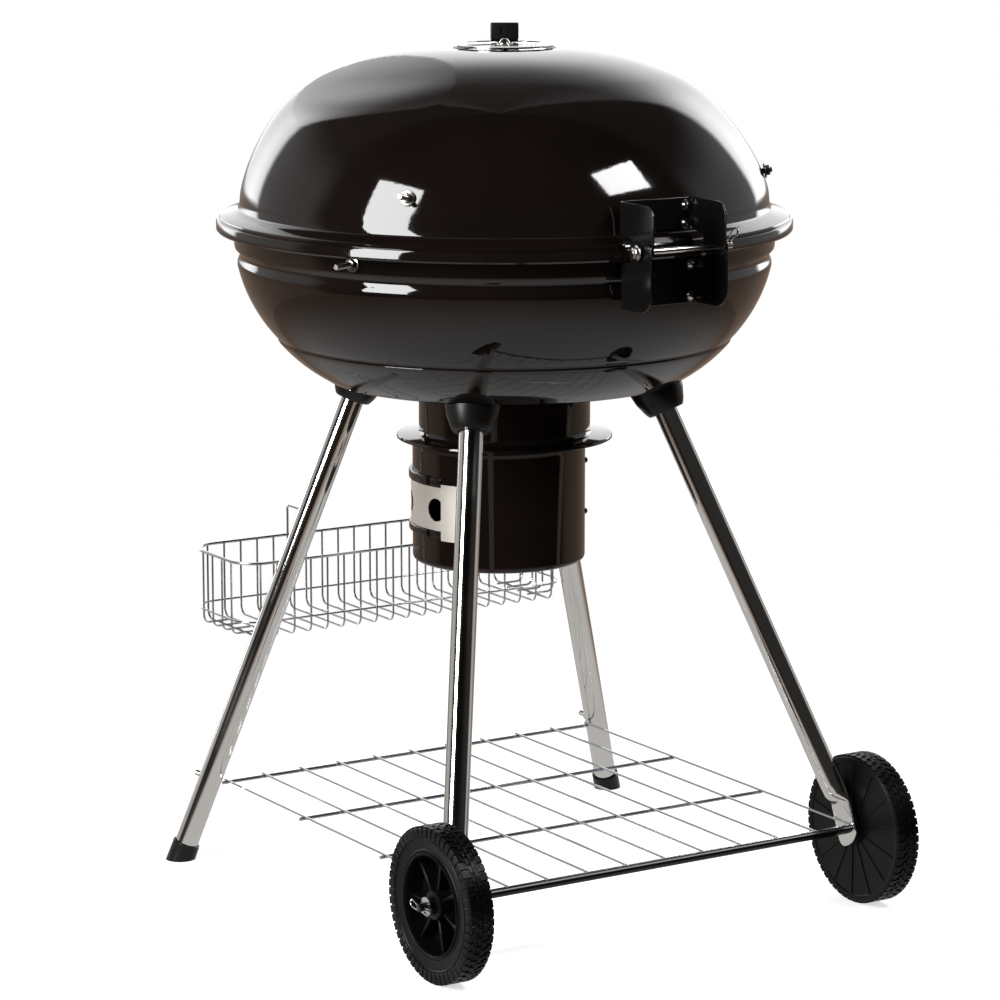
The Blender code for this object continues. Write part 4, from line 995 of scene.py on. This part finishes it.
# ---- Wheels ----
# Each is one moulding in black plastic: a tyre with two staggered rows of tread blocks, a dished
# outer side with seven spokes, and a plain inner side with thin radial ribs.
wheel_plastic = finish_material(
    "wheel_plastic", (0.0012, 0.0011, 0.0010), (0.26, 0.44), 0.0, 900, 0.00005, (0.0030, 0.0028, 0.0026),
    shine=0.12,
)
wheel_radius = (wheel_high.z - wheel_low.z) / 2
half_width = (wheel_high.x - wheel_low.x) / 2
groove_floor = wheel_radius - 0.0014
face_z = half_width - 0.0011
tyre_outline = [
    (0.0046, 0.0125), (0.0046, -half_width), (0.0150, -half_width), (0.0156, -half_width + 0.0012)
]
tyre_outline += [
    (0.0700, -half_width + 0.0012), (0.0708, -half_width + 0.0003), (groove_floor - 0.0018, -half_width)
]
tyre_outline += [
    (groove_floor, -half_width + 0.0016), (groove_floor, face_z - 0.0016), (groove_floor - 0.0016, face_z)
]
tyre_outline += [(0.0664, face_z), (0.0658, face_z + 0.0006), (0.0650, face_z + 0.0006), (0.0644, face_z)]
tyre_outline += [
    (0.0560, face_z - 0.0008), (0.0552, face_z - 0.0002), (0.0542, face_z - 0.0002), (0.0536, face_z - 0.0010)
]
tyre_outline += [
    (0.0522, face_z - 0.0010), (0.0514, face_z + 0.0008), (0.0503, face_z + 0.0010), (0.0496, face_z)
]
tyre_outline += [(0.0490, 0.0080), (0.0478, 0.0030), (0.0466, -0.0040), (0.0450, -0.0068), (0.0420, -0.0078)]
tyre_outline += [(0.0200, -0.0078), (0.0172, -0.0066), (0.0160, -0.0030), (0.0152, 0.0070), (0.0142, 0.0092)]
tyre_outline += [(0.0118, 0.0100), (0.0092, 0.0102), (0.0085, 0.0125)]


def add_block(bm, size, centre, turn, edge=0.0, waist=1.0):
    """Adds a block of a size whose centre is at (r, across, z), turned round Z.

    waist is how wide its top is, as a share of its foot.
    """
    block = bmesh.new()
    bmesh.ops.create_cube(block, size=1)
    bmesh.ops.scale(block, vec=(1, waist, 1), verts=[v for v in block.verts if v.co.z > 0])
    bmesh.ops.scale(block, vec=size, verts=block.verts)
    if edge:
        soften(block, edge, 1)
    bmesh.ops.translate(block, vec=centre, verts=block.verts)
    bmesh.ops.rotate(block, cent=(0, 0, 0), matrix=Matrix.Rotation(turn, 3, "Z"), verts=block.verts)
    add_shape(bm, block)


def wheel_shape():
    """The wheel round Z, with its outer side at +Z."""
    bm = turned(tyre_outline, 144)
    blocks = 54
    pitch = 2 * math.pi / blocks
    span = pitch * wheel_radius
    tall = 0.0030
    middle = wheel_radius - tall / 2
    for i in range(blocks):
        for side, shift in ((1, 0.0), (-1, 0.5)):
            turn = (i + shift) * pitch
            add_block(bm, (tall, span * 0.80, 0.0052), (middle, 0, side * 0.0105), turn, 0.0004)
            add_block(bm, (tall, span * 0.40, 0.0036), (middle, span * -0.17, side * 0.0066), turn, 0.0003)
            turn += pitch / 2
            add_block(bm, (tall, span * 0.80, 0.0032), (middle, 0, side * 0.0024), turn, 0.0004)
            add_block(bm, (tall, span * 0.30, 0.0030), (middle, span * 0.19, side * 0.0052), turn, 0.0003)
        add_block(bm, (0.0088, span * 0.74, 0.0026), (0.0719, 0, half_width - 0.0014), i * pitch, 0.0004)
    seam = [(groove_floor, 0.0005), (wheel_radius, 0.0004), (wheel_radius, -0.0004), (groove_floor, -0.0005)]
    add_shape(bm, turned(seam, 144))
    for i in range(7):
        turn = 2 * math.pi * (i + 0.3) / 7
        add_block(bm, (0.0370, 0.0074, 0.0130), (0.0310, 0, -0.0010), turn, 0.0008, 0.45)
    for i in range(14):
        turn = 2 * math.pi * i / 14
        add_block(bm, (0.0550, 0.0008, 0.0020), (0.0425, 0, -half_width + 0.0013), turn)
    return bm


for side_name, side in (("right", 1), ("left", -1)):
    wheel = wheel_shape()
    middle_x = side * (wheel_low.x + wheel_high.x) / 2
    place = axle_place @ Matrix.Translation((middle_x, 0, 0)) @ Matrix.Rotation(side * math.pi / 2, 4, "Y")
    moved(wheel, place)
    show(
        f"wheel_{side_name}", wheel, wheel_plastic, f"wheel_{side_name[0]}", [
            f"wheel_{side_name}"
        ]
    )

# ---- Bottom shelf ----
# Plated wire: four thicker wires across the stand with eleven thinner ones welded on top. The back
# wire hooks on the axle, and the front corners are bolted to the legs.
plated_wire = finish_material(
    "plated_wire", (0.56, 0.56, 0.59), (0.14, 0.30), 1.0, 1500, 0.00001, (0.42, 0.42, 0.45)
)
shelf_low, shelf_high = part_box("bottom_shelf")
shelf_front, shelf_back = shelf_low.y - kettle_y, shelf_high.y - kettle_y
shelf_z = shelf_low.z + 0.0016
shelf = bmesh.new()
for y in (shelf_front + 0.002, -0.025, 0.143, shelf_back - 0.002):
    rod(shelf, [(-0.2385, y, shelf_z), (0.2385, y, shelf_z)], 0.0040, sides=12)
for i in range(11):
    x = -0.2345 + 0.469 * i / 10
    rod(
        shelf, [(x, shelf_front - 0.001, shelf_z + 0.0030), (x, shelf_back + 0.001, shelf_z + 0.0030)],
        0.0026, sides=8,
    )
show("bottom_shelf", shelf, plated_wire, "kettle", ["bottom_shelf"])
for side_name in ("right", "left"):
    point, direction = leg_tops[f"front_{side_name}"]
    spot_on_leg = point + direction * ((0.090 - join_z) / direction.z)
    bolt = fastener(
        [
            ("thread", 0.0030, 0.0040, 0.0180), ("hex", 0.0058, 0.0004, 0.0048),
            ("plain", 0.0070, -0.0008, 0.0006),
        ]
    )
    place = Matrix.Translation(spot_on_leg + Vector((0, -leg_radius - 0.0012, 0))) @ Matrix.Rotation(
        math.pi / 2, 4, "X"
    )
    moved(bolt, place)
    show(f"shelf_bolt_{side_name}", bolt, bright_plate, "kettle", [f"shelf_bolt_{side_name}"])

# ---- Wire basket ----
# A tray of plated wire that hangs in front of the grill on two hooks over the front legs. U-shaped
# wires run under it between two hoops with round corners.
basket_low, basket_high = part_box("wire_basket")
x0, x1 = basket_low.x + 0.001, basket_high.x - 0.001
y0, y1 = basket_low.y - kettle_y + 0.001, basket_high.y - kettle_y - 0.001
z0, z1 = basket_low.z + 0.001, basket_high.z
basket = bmesh.new()
for z, wire_size in ((z1 - 0.0015, 0.0034), (z0 + 0.018, 0.0024)):
    rod(basket, [(x0, y0, z), (x1, y0, z), (x1, y1, z), (x0, y1, z)], wire_size, 0.030, 10, closed=True)
pitch_x = 0.0208
count_x = int((x1 - x0 - 0.04) / pitch_x)
start_x = (x0 + x1 - count_x * pitch_x) / 2
for i in range(count_x + 1):
    x = start_x + i * pitch_x
    drop = [
        (x, y0 + 0.001, z1 - 0.001), (x, y0 + 0.001, z0), (x, y1 - 0.001, z0), (x, y1 - 0.001, z1 - 0.001)
    ]
    rod(basket, drop, 0.0024, 0.009, 8)
for i in range(4):
    y = y0 + 0.030 + (y1 - y0 - 0.060) * i / 3
    for x, inwards in ((x0 + 0.001, 0.034), (x1 - 0.001, -0.034)):
        rod(basket, [(x, y, z1 - 0.001), (x, y, z0 + 0.002), (x + inwards, y, z0 + 0.002)], 0.0024, 0.008, 8)
show("wire_basket", basket, plated_wire, "kettle", ["wire_basket"])
for side_name in ("right", "left"):
    hook_low, hook_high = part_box(f"basket_hook_{side_name}")
    x = (hook_low.x + hook_high.x) / 2
    near, far = hook_high.y - kettle_y - 0.0012, hook_low.y - kettle_y + 0.0012
    path = [(x, far, hook_low.z + 0.001), (x, far, hook_high.z - 0.0012), (x, near, hook_high.z - 0.0012)]
    path += [(x, near, hook_high.z - 0.010)]
    hook = rod(bmesh.new(), path, 0.0026, 0.004, 10)
    show(f"basket_hook_{side_name}", hook, plated_wire, "kettle", [f"basket_hook_{side_name}"])
